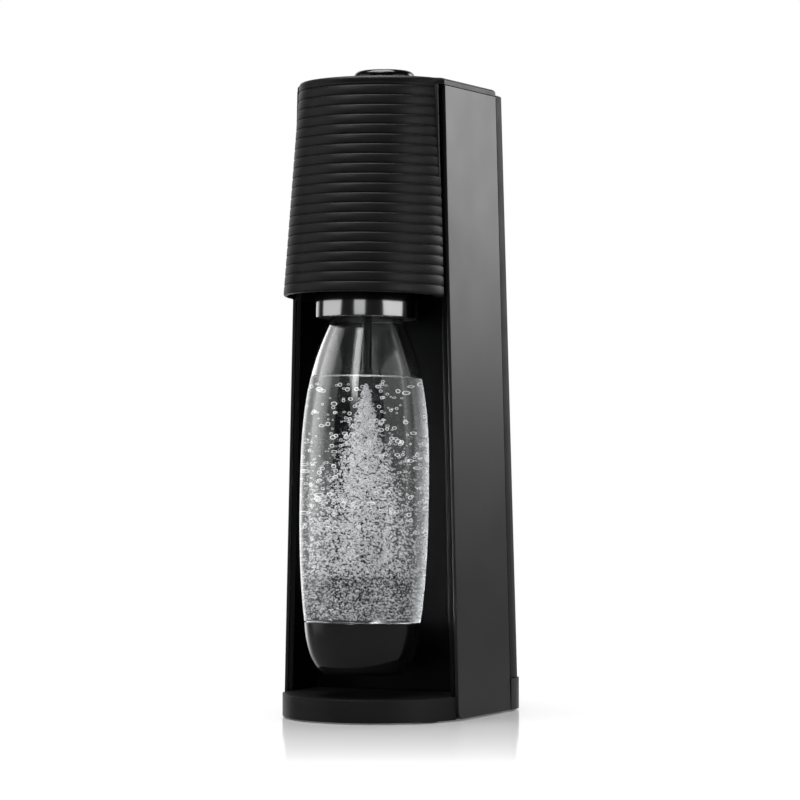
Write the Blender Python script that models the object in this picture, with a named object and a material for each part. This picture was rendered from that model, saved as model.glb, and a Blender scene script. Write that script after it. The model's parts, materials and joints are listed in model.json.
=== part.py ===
"""Soda carbonator: a column with a bottle bay in front, a gas cylinder behind it and a ribbed head above.

Metres, +Z up, front towards -Y, X across. The origin is at the bottom centre of the bounding box.
Every separate piece is one closed object. Pieces that touch keep GAP between them.
"""

import bpy
import bmesh
import numpy as np
from math import acos, cos, pi, radians, sin
from mathutils import Matrix, Vector

# ---------------------------------------------------------------- driving sizes
GAP = 0.0003                  # between faces that touch
ROUND = 28                    # sides of a round piece

# column and side panels, which taper upwards
BASE_WIDTH = 0.1316           # over the side panels at the floor
TOP_WIDTH = 0.1110            # over the side panels at the top
PANEL_THICKNESS = 0.0025
COLUMN_WALL = 0.0035
BAY_WALL = 0.0025             # the wall between bottle and cylinder
WALL_SETBACK = 0.0005         # column wall behind the panel's front edge
FLOOR_GAP = 0.001             # panels and base skirt above the floor

# base
BASE_HEIGHT = 0.016
BASE_REAR_HEIGHT = 0.0224     # the step that carries the rear cover
BASE_WALL = 0.0025
BASE_RIM = 0.0038             # wall of that step
BASE_REACH = 0.0538           # base front ahead of the side panels
BASE_BULGE = 0.0182           # widest line of the base's curve behind the panel front
PLATE_THICKNESS = 0.003
FOOT_RADIUS = 0.009
FOOT_HEIGHT = 0.0017
SCREW_RADIUS = 0.0015
SCREW_HEAD_RADIUS = 0.0032
BOSS_RADIUS = 0.004

# bottle, hung from the holder along an axis that leans forward
BOTTLE_LENGTH = 0.262
BOTTLE_RADIUS = 0.0433
BOTTLE_WALL = 0.0015
NECK_RADIUS = 0.0135
NECK_BORE = 0.0108
NECK_LENGTH = 0.0115
CUP_HEIGHT = 0.0345           # black cup over the bottle's foot
CUP_WALL = 0.002
BOTTLE_CLEARANCE = 0.013      # bottle's foot above the base
BOTTLE_LEAN = radians(2.0)
BELLY_SHARE = 0.446           # height of the widest line, as a share of the length
SHOULDER_TUCK = 0.446         # narrowing from the belly to the shoulder
FOOT_TUCK = 0.100             # narrowing from the belly to the cup
FOOT_SHARE = 0.8              # radius of the foot that sets its clearance
NECK_CURVE = 0.0125           # height of the curve from shoulder to neck
BAY_ROOM = 0.00272            # between the bottle's back and the bay wall

# bottle holder
COLLAR_RADIUS = 0.0326
COLLAR_HEIGHT = 0.0202
TRIM_THICKNESS = 0.0018
TRIM_HEIGHT = 0.0198
SOCKET_CLEARANCE = 0.0008
SOCKET_WALL = 0.0032
SEAL_THICKNESS = 0.0026
NOZZLE_RADIUS = 0.0033
NOZZLE_BORE = 0.0010
NOZZLE_LENGTH = 0.062         # below the top of the bottle's neck
TIP_RADIUS = 0.0043
PIVOT_RISE = 0.013            # pivot above the top of the bottle's neck
PIVOT_RADIUS = 0.003
BLOCK_RADIUS = 0.015

# head
HEAD_HEIGHT = 0.1417          # from the rear of its rim to the lid
HEAD_INSET = 0.0024           # head narrower than the side panels, each side
HEAD_RIM_REACH = 0.0570       # rim front ahead of the head's rear edge
HEAD_TOP_REACH = 0.0340       # lid front ahead of the head's rear edge
HEAD_TOP_CENTRE = 0.0120      # the top curve's widest line behind that edge
RIM_SLOPE = 0.070             # the rim rises towards the front
HEAD_WALL = 0.0022
GROOVE = 0.0035               # shadow gap between head and side panels
TONGUE_LENGTH = 0.027         # head flanges that run between the column walls
LID_THICKNESS = 0.0045
UNDERSIDE_RISE = 0.013        # head's floor above the rim's rear
UNDERSIDE_THICKNESS = 0.002
UNDERSIDE_HOLE = 0.0380        # the collar swings through it
UNDERSIDE_HOLE_LEAD = 0.0035   # hole's centre ahead of the pivot
RIM_DROP = 0.0237              # rim's rear below the holder's pivot

# button and its guide
BUTTON_RADIUS = 0.0208
BUTTON_RISE = 0.0100          # button's top above the lid
BUTTON_DOME = 0.0042
BUTTON_SKIRT = 0.0175
BUTTON_WALL = 0.0022
BUTTON_SETBACK = 0.0250       # button's centre behind the head's rear edge
BUTTON_PLAY = 0.0006
BUTTON_TRAVEL = 0.008
STEM_RADIUS = 0.0035
GUIDE_DEPTH = 0.0210
GUIDE_WALL = 0.0021
GUIDE_FLANGE = 0.0060
SPRING_RADIUS = 0.0090
SPRING_WIRE = 0.0007
SPRING_TURNS = 5

# gas cylinder and its connection
CYLINDER_RADIUS = 0.0300
CYLINDER_WALL = 0.0035
CYLINDER_DOME = 0.028         # height of the round shoulder
CYLINDER_COLLAR = 0.009       # straight neck above it
CYLINDER_NECK = 0.013
CYLINDER_ROOM = 0.0040        # between cylinder and the bay wall
CYLINDER_BEHIND = 0.0165      # between cylinder and the back of the base
CYLINDER_DROP = 0.003
SEAT_FLOOR = 0.003
SEAT_RIM = 0.0155
SEAT_WALL = 0.0029
VALVE_RADIUS = 0.011
VALVE_LENGTH = 0.0177
VALVE_RISE = 0.005            # valve above the yoke
VALVE_PIN_RADIUS = 0.0015
VALVE_PIN_RISE = 0.0072
VALVE_PIN_LENGTH = 0.0152
YOKE_THICKNESS = 0.009
YOKE_DROP = 0.0540            # yoke's top below the underside of the lid
LEVER_WIDTH = 0.008
LEVER_THICKNESS = 0.006
LEVER_HEEL = 0.015            # lever pivot behind the cylinder's axis
SMALL_PIN_RADIUS = 0.0015
HANDLE_REACH = 0.035
HANDLE_BAR = 0.005
HANDLE_ARM = 0.003
HANDLE_HEIGHT = 0.007

# rear cover
COVER_WALL = 0.0022
COVER_CORNER = 0.027
COVER_SETBACK_TOP = 0.0055    # back of the cover leans forward by this much
COVER_STEP = 0.001            # cover inside the base's outline at the back
COVER_DEPTH = 0.0351          # base's back behind the seam, at the bottom
SEAM_LEAN = 0.0027            # the seam comes forward by this much at the top
LATCH_WIDTH = 0.020
LATCH_HEIGHT = 0.008
LATCH_DROP = 0.024            # latch's centre below the top of the cover
LATCH_PROUD = 0.0006

# ---------------------------------------------------------------- derived places
# heights
BOTTLE_FOOT_Z = BASE_HEIGHT + BOTTLE_CLEARANCE
NECK_TOP_Z = BOTTLE_FOOT_Z + BOTTLE_LENGTH * cos(BOTTLE_LEAN) + BOTTLE_RADIUS * FOOT_SHARE * sin(BOTTLE_LEAN)
PIVOT_Z = NECK_TOP_Z + PIVOT_RISE
RIM_Z = PIVOT_Z - RIM_DROP    # rear ends of the head's rim
LID_Z = RIM_Z + HEAD_HEIGHT   # underside of the lid
LID_TOP_Z = LID_Z + LID_THICKNESS
HEIGHT = LID_TOP_Z + BUTTON_RISE
TAPER = (BASE_WIDTH - TOP_WIDTH) / 2 / LID_Z

# depths, measured back from the head's rear edge
WIDEST_DROP = BOTTLE_LENGTH * (1 - BELLY_SHARE) + PIVOT_RISE
BAY_DEPTH = BOTTLE_RADIUS - WIDEST_DROP * sin(BOTTLE_LEAN) + BAY_ROOM
CYLINDER_BACK = BAY_DEPTH + BAY_WALL + CYLINDER_ROOM + CYLINDER_RADIUS
BACK = CYLINDER_BACK + CYLINDER_RADIUS + CYLINDER_BEHIND
DEPTH = HEAD_RIM_REACH + BACK
HEAD_BACK_Y = HEAD_RIM_REACH - DEPTH / 2
BACK_Y = DEPTH / 2
PANEL_FRONT_Y = HEAD_BACK_Y + GROOVE
WALL_FRONT_Y = PANEL_FRONT_Y + WALL_SETBACK
BAY_Y = HEAD_BACK_Y + BAY_DEPTH
CYLINDER_Y = HEAD_BACK_Y + CYLINDER_BACK
BUTTON_Y = HEAD_BACK_Y + BUTTON_SETBACK
PIVOT = Vector((0, HEAD_BACK_Y, PIVOT_Z))
SEAM_Y = BACK_Y - COVER_DEPTH

# the valve's levers
YOKE_TOP_Z = LID_Z - YOKE_DROP
YOKE_Z = YOKE_TOP_Z - YOKE_THICKNESS
VALVE_TOP_Z = YOKE_TOP_Z + VALVE_RISE
NECK_Z = VALVE_TOP_Z - VALVE_LENGTH - GAP
LEVER_BOTTOM_Z = VALVE_TOP_Z + VALVE_PIN_RISE + GAP
LEVER_TOP_Z = LEVER_BOTTOM_Z + LEVER_THICKNESS
LEVER_Z = LEVER_BOTTOM_Z + LEVER_THICKNESS / 2
LEVER_Y = CYLINDER_Y + LEVER_HEEL
HANDLE_Z = YOKE_Z + YOKE_THICKNESS / 2

# round pieces of the button
BUTTON_TOP_Z = HEIGHT
BUTTON_ROOF_Z = BUTTON_TOP_Z - BUTTON_DOME - BUTTON_WALL
GUIDE_FLOOR_Z = LID_Z - GUIDE_DEPTH
GUIDE_BORE = BUTTON_RADIUS + BUTTON_PLAY

COLOURS = {
    "black_plastic": ((0.010, 0.010, 0.011), 0.42, 0.0),
    "dark_panel": ((0.022, 0.023, 0.025), 0.30, 0.0),
    "gloss_black": ((0.006, 0.006, 0.007), 0.10, 0.0),
    "rubber": ((0.015, 0.015, 0.015), 0.85, 0.0),
    "steel": ((0.62, 0.62, 0.61), 0.22, 1.0),
    "brass": ((0.70, 0.52, 0.22), 0.30, 1.0),
    "grey_metal": ((0.45, 0.46, 0.48), 0.38, 1.0),
    "clear_bottle": ((0.90, 0.94, 0.95), 0.05, 0.0),
    "inner_plastic": ((0.060, 0.062, 0.066), 0.50, 0.0),
    "handle_plastic": ((0.42, 0.43, 0.45), 0.40, 0.0),
}


# ---------------------------------------------------------------- modelling helpers
def clear_scene():
    for old in list(bpy.data.objects):
        bpy.data.objects.remove(old, do_unlink=True)


def material(name):
    """The Principled BSDF material of this name, made once."""
    found = bpy.data.materials.get(name)
    if found:
        return found
    colour, roughness, metallic = COLOURS[name]
    made = bpy.data.materials.new(name)
    made.use_nodes = True
    shader = made.node_tree.nodes["Principled BSDF"]
    shader.inputs["Base Color"].default_value = (*colour, 1.0)
    shader.inputs["Roughness"].default_value = roughness
    shader.inputs["Metallic"].default_value = metallic
    made.diffuse_color = (*colour, 1.0)
    return made


def place(bm, name, colour, parent=None, origin=(0, 0, 0)):
    """Turns a bmesh in world coordinates into a named object with its origin at the given point."""
    bmesh.ops.recalc_face_normals(bm, faces=bm.faces)
    mesh = bpy.data.meshes.new(name)
    if parent:
        bmesh.ops.transform(bm, matrix=Matrix.Translation(-Vector(origin)), verts=bm.verts)
    bm.to_mesh(mesh)
    bm.free()
    piece = bpy.data.objects.new(name, mesh)
    bpy.context.collection.objects.link(piece)
    if colour:
        mesh.materials.append(material(colour))
    mesh.shade_smooth()
    mesh.set_sharp_from_angle(angle=radians(30))
    if parent:
        piece.parent = parent
    return piece


def pivot_empty(name, location, lean=0.0):
    """An empty on a joint's axis, leaning forward about X."""
    empty = bpy.data.objects.new(name, None)
    empty.location = location
    empty.rotation_euler = (-lean, 0, 0)
    bpy.context.collection.objects.link(empty)
    return empty


def add_ring(bm, points):
    return [bm.verts.new(p) for p in points]


def loft(rings):
    """A closed solid through rings of equally many points, with a flat cap at each end."""
    bm = bmesh.new()
    loops = [add_ring(bm, ring) for ring in rings]
    count = len(loops[0])
    for lower, upper in zip(loops, loops[1:]):
        for i in range(count):
            j = (i + 1) % count
            bm.faces.new((lower[i], lower[j], upper[j], upper[i]))
    bm.faces.new(loops[0][::-1])
    bm.faces.new(loops[-1])
    return bm


def turned(profile, sides=ROUND, closed=True):
    """A solid of revolution about Z from (radius, height) points. Points at radius 0 close on the axis."""
    bm = bmesh.new()
    angles = [2 * pi * i / sides for i in range(sides)]
    rings = []
    for radius, height in profile:
        if radius == 0:
            rings.append([bm.verts.new((0, 0, height))])
        else:
            rings.append(add_ring(bm, [(radius * cos(a), radius * sin(a), height) for a in angles]))
    pairs = list(zip(rings, rings[1:]))
    if closed:
        pairs.append((rings[-1], rings[0]))
    for first, second in pairs:
        if len(first) == 1 and len(second) == 1:
            continue
        for i in range(sides):
            j = (i + 1) % sides
            corners = [first[i % len(first)], first[j % len(first)], second[j % len(second)],
                       second[i % len(second)]]
            corners = [c for k, c in enumerate(corners) if c not in corners[:k]]
            bm.faces.new(corners)
    return bm


def block(low, high):
    """A box between two corners."""
    (x0, y0, z0), (x1, y1, z1) = low, high
    floor = [(x0, y0), (x1, y0), (x1, y1), (x0, y1)]
    return loft([[(x, y, z) for x, y in floor] for z in (z0, z1)])


def rod(start, end, radius, sides=20):
    """A round bar between two points."""
    start, end = Vector(start), Vector(end)
    along = end - start
    bm = turned([(0, 0), (radius, 0), (radius, along.length), (0, along.length)], sides, closed=False)
    turn = Vector((0, 0, 1)).rotation_difference(along)
    bm.transform(Matrix.Translation(start) @ turn.to_matrix().to_4x4())
    return bm


def moved(bm, x, y, z):
    bm.transform(Matrix.Translation((x, y, z)))
    return bm


def combine(piece, operation, shapes):
    """Cuts shapes from a piece or joins them to it. The shapes stay as hidden guides."""
    for index, bm in enumerate(shapes):
        guide = place(bm, f"guide_{operation.lower()}_{piece.name}_{index}", None)
        guide.hide_render = True
        guide.display_type = "WIRE"
        if piece.parent:
            guide.parent = piece.parent
        modifier = piece.modifiers.new(f"{operation.lower()}_{index}", "BOOLEAN")
        modifier.operation = operation
        modifier.object = guide
        modifier.solver = "EXACT"


def cut(piece, *shapes):
    combine(piece, "DIFFERENCE", shapes)


def join(piece, *shapes):
    combine(piece, "UNION", shapes)


def soften(piece, width, angle=radians(40)):
    """A small chamfer on the sharp edges."""
    bevel = piece.modifiers.new("edge", "BEVEL")
    bevel.width = width
    bevel.segments = 1
    bevel.angle_limit = angle
    bevel.limit_method = "ANGLE"


# ---------------------------------------------------------------- outlines shared between pieces
def panel_half_width(z):
    """Outer face of the side panels at a height."""
    return BASE_WIDTH / 2 - TAPER * z


def wall_outer(z):
    return panel_half_width(z) - PANEL_THICKNESS - GAP


def wall_inner(z):
    return wall_outer(z) - COLUMN_WALL


def seam_y(z):
    """Rear edge of the side panels at a height."""
    return SEAM_Y - SEAM_LEAN * z / LID_Z


def ellipse_arc(half_width, reach, centre_y, end_y, count):
    """Points of a front-facing half ellipse, from its left end to its right end at y = end_y."""
    end = acos((centre_y - end_y) / reach)
    angles = [end * (2 * i / count - 1) for i in range(count + 1)]
    return [(half_width * sin(a), centre_y - reach * cos(a)) for a in angles]


def base_outline(inset, rear_y):
    """Base outline: a curved front, then straight sides inside the panels as far as rear_y."""
    centre_y = PANEL_FRONT_Y + BASE_BULGE - GAP
    side = wall_outer(BASE_REAR_HEIGHT) - inset
    front = ellipse_arc(BASE_WIDTH / 2 + 0.0002 - inset, BASE_REACH + BASE_BULGE - inset, centre_y,
                        PANEL_FRONT_Y - GAP - inset, 28)
    return front + [(side, front[-1][1]), (side, rear_y), (-side, rear_y), (-side, front[-1][1])]


def rear_outline(half_width, front_y, rear_y, corner, steps=6):
    """A rectangle whose two rear corners are round."""
    corner = min(corner, half_width * 0.9)
    points = [(-half_width, front_y), (half_width, front_y)]
    for side, first in ((1, 0.0), (-1, pi / 2)):
        for i in range(steps + 1):
            a = first + pi / 2 * i / steps
            points.append((side * (half_width - corner) + corner * cos(a), rear_y - corner + corner * sin(a)))
    return points


def cover_ring(z, inset, front_y):
    """Rear cover outline at a height, moved inwards by inset."""
    lean = COVER_SETBACK_TOP * (z - BASE_REAR_HEIGHT) / (LID_Z - BASE_REAR_HEIGHT)
    rear_y = BACK_Y - COVER_STEP - lean - inset
    half_width = panel_half_width(z) - GAP - inset
    return [(x, y, z) for x, y in rear_outline(half_width, front_y, rear_y, COVER_CORNER - inset)]


def head_share(z):
    """0 at the rim's rear end, 1 at the underside of the lid."""
    return (z - RIM_Z) / HEAD_HEIGHT


def head_arc(z, inset, end_y, count=28):
    """The head's outer curve at a height, moved inwards by inset."""
    share = head_share(z)
    reach = HEAD_RIM_REACH + (HEAD_TOP_REACH + HEAD_TOP_CENTRE - HEAD_RIM_REACH) * share
    centre_y = HEAD_BACK_Y + HEAD_TOP_CENTRE * share
    half_width = panel_half_width(z) - HEAD_INSET
    return ellipse_arc(half_width - inset, reach - inset, centre_y, end_y, count)


def tongue_x(z):
    """Outer face of the head's flanges, just inside the column walls."""
    return wall_inner(z) - GAP


def head_ring(z, slope):
    """The head cover's section: a curved wall with a flange at each end, in a plane that rises forward."""
    outer = head_arc(z, 0, HEAD_BACK_Y)
    inner = head_arc(z, HEAD_WALL, HEAD_BACK_Y - HEAD_WALL)
    x = tongue_x(z)
    back = HEAD_BACK_Y + TONGUE_LENGTH
    right = [(x, HEAD_BACK_Y), (x, back), (x - HEAD_WALL, back), (x - HEAD_WALL, HEAD_BACK_Y - HEAD_WALL)]
    left = [(-px, py) for px, py in right[::-1]]
    outline = outer + right + inner[::-1] + left
    return [(px, py, z + slope * (HEAD_BACK_Y - py)) for px, py in outline]


# ---------------------------------------------------------------- base
BOSS_PLACES = [(x, y) for y in (PANEL_FRONT_Y - 0.018, BACK_Y - 0.021) for x in (-0.030, 0.030)]
FOOT_PLACES = [(x, y) for y in (PANEL_FRONT_Y - 0.010, BACK_Y - 0.026) for x in (-0.045, 0.045)]


def make_base():
    rear_wall_y = seam_y(0) + GAP + 0.0001
    inner_y = rear_wall_y + BASE_WALL

    def slab(outline, z0, z1):
        return loft([[(x, y, z) for x, y in outline] for z in (z0, z1)])

    def rear_slab(inset, front_y, z0, z1):
        outline = rear_outline(BASE_WIDTH / 2 - inset, front_y, BACK_Y - inset, COVER_CORNER - inset)
        return slab(outline, z0, z1)

    shell = place(slab(base_outline(0, inner_y + 0.004), FLOOR_GAP, BASE_HEIGHT), "base_shell", "black_plastic")
    join(shell, rear_slab(0, rear_wall_y, FLOOR_GAP, BASE_REAR_HEIGHT))
    hollow_top = BASE_HEIGHT - BASE_WALL
    cut(shell, slab(base_outline(BASE_WALL, inner_y + 0.008), -0.002, hollow_top),
        rear_slab(BASE_WALL, inner_y, -0.002, hollow_top),
        rear_slab(BASE_RIM, rear_wall_y - 0.001, BASE_HEIGHT, BASE_REAR_HEIGHT + 0.01))
    plate_top = FOOT_HEIGHT + GAP + PLATE_THICKNESS
    bosses = []
    holes = []
    for x, y in BOSS_PLACES:
        bosses.append(rod((x, y, plate_top + GAP), (x, y, hollow_top + 0.001), BOSS_RADIUS, 16))
        holes.append(rod((x, y, 0), (x, y, hollow_top - 0.001), SCREW_RADIUS + GAP, 12))
    join(shell, *bosses)
    cut(shell, *holes)

    inset = BASE_WALL + GAP
    front = base_outline(inset, inner_y)
    side = wall_outer(BASE_REAR_HEIGHT) - inset
    rear = rear_outline(side, inner_y, BACK_Y - inset, COVER_CORNER - inset)[2:]
    outline = front[:-3] + rear + front[-1:]
    plate = place(slab(outline, FOOT_HEIGHT + GAP, plate_top), "base_plate", "inner_plastic")
    pocket = 0.0020
    for index, (x, y) in enumerate(BOSS_PLACES, 1):
        head_z = FOOT_HEIGHT + GAP + 0.0002
        cut(plate, rod((x, y, 0), (x, y, FOOT_HEIGHT + GAP + pocket), SCREW_HEAD_RADIUS + GAP, 16),
            rod((x, y, 0), (x, y, plate_top + 0.001), SCREW_RADIUS + GAP, 12))
        head_top = FOOT_HEIGHT + pocket
        screw = turned([(0, head_z), (SCREW_HEAD_RADIUS, head_z), (SCREW_HEAD_RADIUS, head_top),
                        (SCREW_RADIUS, head_top), (SCREW_RADIUS, 0.0115), (0, 0.0115)], 16, closed=False)
        place(moved(screw, x, y, 0), f"base_screw_{index}", "steel")
    for index, (x, y) in enumerate(FOOT_PLACES, 1):
        place(rod((x, y, 0), (x, y, FOOT_HEIGHT), FOOT_RADIUS, 24), f"foot_{index}", "rubber")


# ---------------------------------------------------------------- column
def make_column():
    def ring(z):
        o, i = wall_outer(z), wall_inner(z)
        front, rear = WALL_FRONT_Y, seam_y(z) - 0.001
        right = [(o, front), (o, rear), (i, rear), (i, BAY_Y + BAY_WALL)]
        notch = [(i, BAY_Y), (i, front)]
        left = [(-x, y) for x, y in right[::-1]]
        inner = [(-x, y) for x, y in notch]
        outline = right + left + inner[::-1] + notch
        return [(x, y, z) for x, y in outline]

    column = place(loft([ring(BASE_HEIGHT + GAP), ring(LID_Z - GAP)]), "column_frame", "black_plastic")
    window = wall_inner(LID_Z) - 0.006
    cut(column, block((-window, BAY_Y - 0.004, PIVOT_Z + 0.030), (window, BAY_Y + 0.006, LID_Z + 0.01)))
    cut(column, *[rod((x, BAY_Y - 0.001, z), (x, BAY_Y + 0.002, z), SCREW_RADIUS + GAP, 12)
                  for x, z in CHASSIS_SCREWS])

    for side, name in ((1, "side_panel_right"), (-1, "side_panel_left")):
        def rectangle(z):
            outer = side * panel_half_width(z)
            inner = side * (panel_half_width(z) - PANEL_THICKNESS)
            rear = seam_y(z)
            return [(inner, PANEL_FRONT_Y, z), (outer, PANEL_FRONT_Y, z), (outer, rear, z), (inner, rear, z)]
        panel = place(loft([rectangle(FLOOR_GAP), rectangle(LID_Z - GAP)]), name, "dark_panel")
        soften(panel, 0.0006)


# ---------------------------------------------------------------- head
def make_head():
    levels = [0, 0.25, 0.5, 0.75, 1]
    rings = [head_ring(RIM_Z + (HEAD_HEIGHT - GAP) * s, RIM_SLOPE * (1 - s)) for s in levels]
    place(loft(rings), "head_cover", "black_plastic")

    z0 = RIM_Z + UNDERSIDE_RISE
    z1 = z0 + UNDERSIDE_THICKNESS
    clear = HEAD_WALL + GAP + 0.0004
    arc = head_arc(z1, clear, HEAD_BACK_Y - clear, 24)
    side = tongue_x(z1) - HEAD_WALL - GAP
    outline = arc + [(side, arc[-1][1]), (side, BAY_Y - GAP), (-side, BAY_Y - GAP), (-side, arc[0][1])]
    floor = place(loft([[(x, y, z) for x, y in outline] for z in (z0, z1)]), "head_underside", "black_plastic")
    y = HEAD_BACK_Y - UNDERSIDE_HOLE_LEAD
    cut(floor, rod((0, y, z0 - 0.01), (0, y, z1 + 0.01), UNDERSIDE_HOLE, ROUND))

    arc = head_arc(LID_Z, 0, HEAD_BACK_Y)
    side = panel_half_width(LID_Z) - GAP
    outline = arc + [(side, PANEL_FRONT_Y), (side, seam_y(LID_Z)), (-side, seam_y(LID_Z)), (-side, PANEL_FRONT_Y)]
    lid = place(loft([[(x, y, z) for x, y in outline] for z in (LID_Z, LID_TOP_Z)]), "top_cap", "black_plastic")
    cut(lid, rod((0, BUTTON_Y, LID_Z - 0.01), (0, BUTTON_Y, LID_TOP_Z + 0.01), GUIDE_BORE, ROUND))


# ---------------------------------------------------------------- chassis that carries the holder
CHEEK_INNER = 0.0220
CHEEK_WALL = 0.003
CHASSIS_HEIGHT = 0.026
CHASSIS_LOW_Z = RIM_Z + UNDERSIDE_RISE + UNDERSIDE_THICKNESS + 0.0005
CHASSIS_SCREWS = [(x, PIVOT_Z + 0.011) for x in (-0.030, 0.030)]
PIVOT_PIN_HALF = 0.0295


def make_chassis():
    outer = CHEEK_INNER + CHEEK_WALL
    top = PIVOT_Z + CHASSIS_HEIGHT - 0.001
    roof = top - CHEEK_WALL
    section = [(-outer, CHASSIS_LOW_Z), (-CHEEK_INNER, CHASSIS_LOW_Z), (-CHEEK_INNER, roof), (CHEEK_INNER, roof),
               (CHEEK_INNER, CHASSIS_LOW_Z), (outer, CHASSIS_LOW_Z), (outer, top), (-outer, top)]
    front = HEAD_BACK_Y - 0.014
    bm = loft([[(x, y, z) for x, z in section] for y in (front, BAY_Y - 0.0015)])
    chassis = place(bm, "holder_chassis", "inner_plastic")
    flange = (0.035, BAY_Y - 0.0028, BAY_Y - GAP)
    join(chassis, block((-flange[0], flange[1], CHASSIS_LOW_Z + 0.003), (flange[0], flange[2], top)))
    cut(chassis, rod((-0.04, HEAD_BACK_Y, PIVOT_Z), (0.04, HEAD_BACK_Y, PIVOT_Z), PIVOT_RADIUS + GAP, 20))
    for index, (x, z) in enumerate(CHASSIS_SCREWS, 1):
        cut(chassis, rod((x, flange[1] - 0.01, z), (x, BAY_Y + 0.01, z), SCREW_RADIUS + GAP, 12))
        screw = turned([(0, 0), (SCREW_HEAD_RADIUS, 0), (SCREW_HEAD_RADIUS, 0.002), (SCREW_RADIUS, 0.002),
                        (SCREW_RADIUS, 0.0055), (0, 0.0055)], 16, closed=False)
        screw.transform(Matrix.Translation((x, flange[1] - GAP - 0.002, z)) @ Matrix.Rotation(-pi / 2, 4, "X"))
        place(screw, f"chassis_screw_{index}", "steel")


# ---------------------------------------------------------------- bottle and holder
def bottle_radius(z):
    """Outer radius of the bottle at a height along its own axis, from its foot at 0."""
    widest = BOTTLE_LENGTH * BELLY_SHARE
    cup = CUP_HEIGHT
    if z >= widest:
        shoulder = BOTTLE_LENGTH - NECK_LENGTH - NECK_CURVE - widest
        return BOTTLE_RADIUS * (1 - SHOULDER_TUCK * ((z - widest) / shoulder) ** 3)
    belly = widest - cup
    return BOTTLE_RADIUS * (1 - FOOT_TUCK * ((widest - max(z, cup)) / belly) ** 2.4)


def cup_profile():
    """(radius, height) points of the cup's outside, from its rim down to the foot."""
    rim = bottle_radius(CUP_HEIGHT)
    shares = [(1.0, 1.0), (0.933, 0.65), (0.858, 0.35), (0.79, 0.20), (0.72, 0.06), (0.665, 0.0)]
    return [(rim * r, CUP_HEIGHT * h) for r, h in shares]


def neck_heights():
    shoulder = BOTTLE_LENGTH - NECK_LENGTH - NECK_CURVE
    return shoulder, BOTTLE_LENGTH - NECK_LENGTH


def shoulder_points(clearance):
    """The curve from the shoulder into the neck, moved outwards by a clearance."""
    low, high = neck_heights()
    widest = bottle_radius(low)
    steps = [(1.0, 0.0), (0.50, 0.42), (0.14, 0.74), (0.0, 1.0)]
    return [(NECK_RADIUS + (widest - NECK_RADIUS) * r + clearance, low + (high - low) * h) for r, h in steps]


def to_axis(profile):
    """Moves heights measured from the bottle's foot to distances below the pivot."""
    drop = BOTTLE_LENGTH + PIVOT_RISE
    return [(r, h - drop) for r, h in profile]


def make_bottle(parent):
    low = neck_heights()[0]
    shell_foot = CUP_WALL + GAP + 0.0015
    cup = cup_profile()
    skin = CUP_WALL + GAP
    waist = CUP_HEIGHT + GAP
    foot = [(cup[0][0] - skin, waist)] + [(r - skin, h) for r, h in cup[1:-2]]
    foot = [(foot[-1][0] - 0.004, shell_foot)] + foot[::-1]
    heights = [waist + (low - waist) * s for s in np.linspace(0, 1, 8)]
    belly = [(bottle_radius(h), h) for h in heights]
    outer = [(0, shell_foot)] + foot + belly + shoulder_points(0)[1:] + [(NECK_RADIUS, BOTTLE_LENGTH)]
    inside = [(NECK_BORE, BOTTLE_LENGTH), (NECK_BORE, neck_heights()[1] + 0.002)]
    inside += [(r - BOTTLE_WALL - 0.0003, h) for r, h in shoulder_points(0)[1:3][::-1]]
    inside += [(r - BOTTLE_WALL, h) for r, h in belly[:0:-1]]
    inside += [(r - BOTTLE_WALL, h + BOTTLE_WALL) for r, h in foot[::-1]]
    inside += [(0, shell_foot + BOTTLE_WALL)]
    bm = turned(to_axis(outer + inside), ROUND, closed=False)
    place(bm, "bottle_body", "clear_bottle", parent, (0, 0, 0))

    outside = cup[::-1]
    lining = [(r - CUP_WALL, max(h, CUP_WALL)) for r, h in cup[:-1]]
    profile = [(0, 0)] + outside + lining + [(0, CUP_WALL)]
    place(turned(to_axis(profile), ROUND, closed=False), "bottle_base_cup", "gloss_black", parent, (0, 0, 0))


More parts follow.
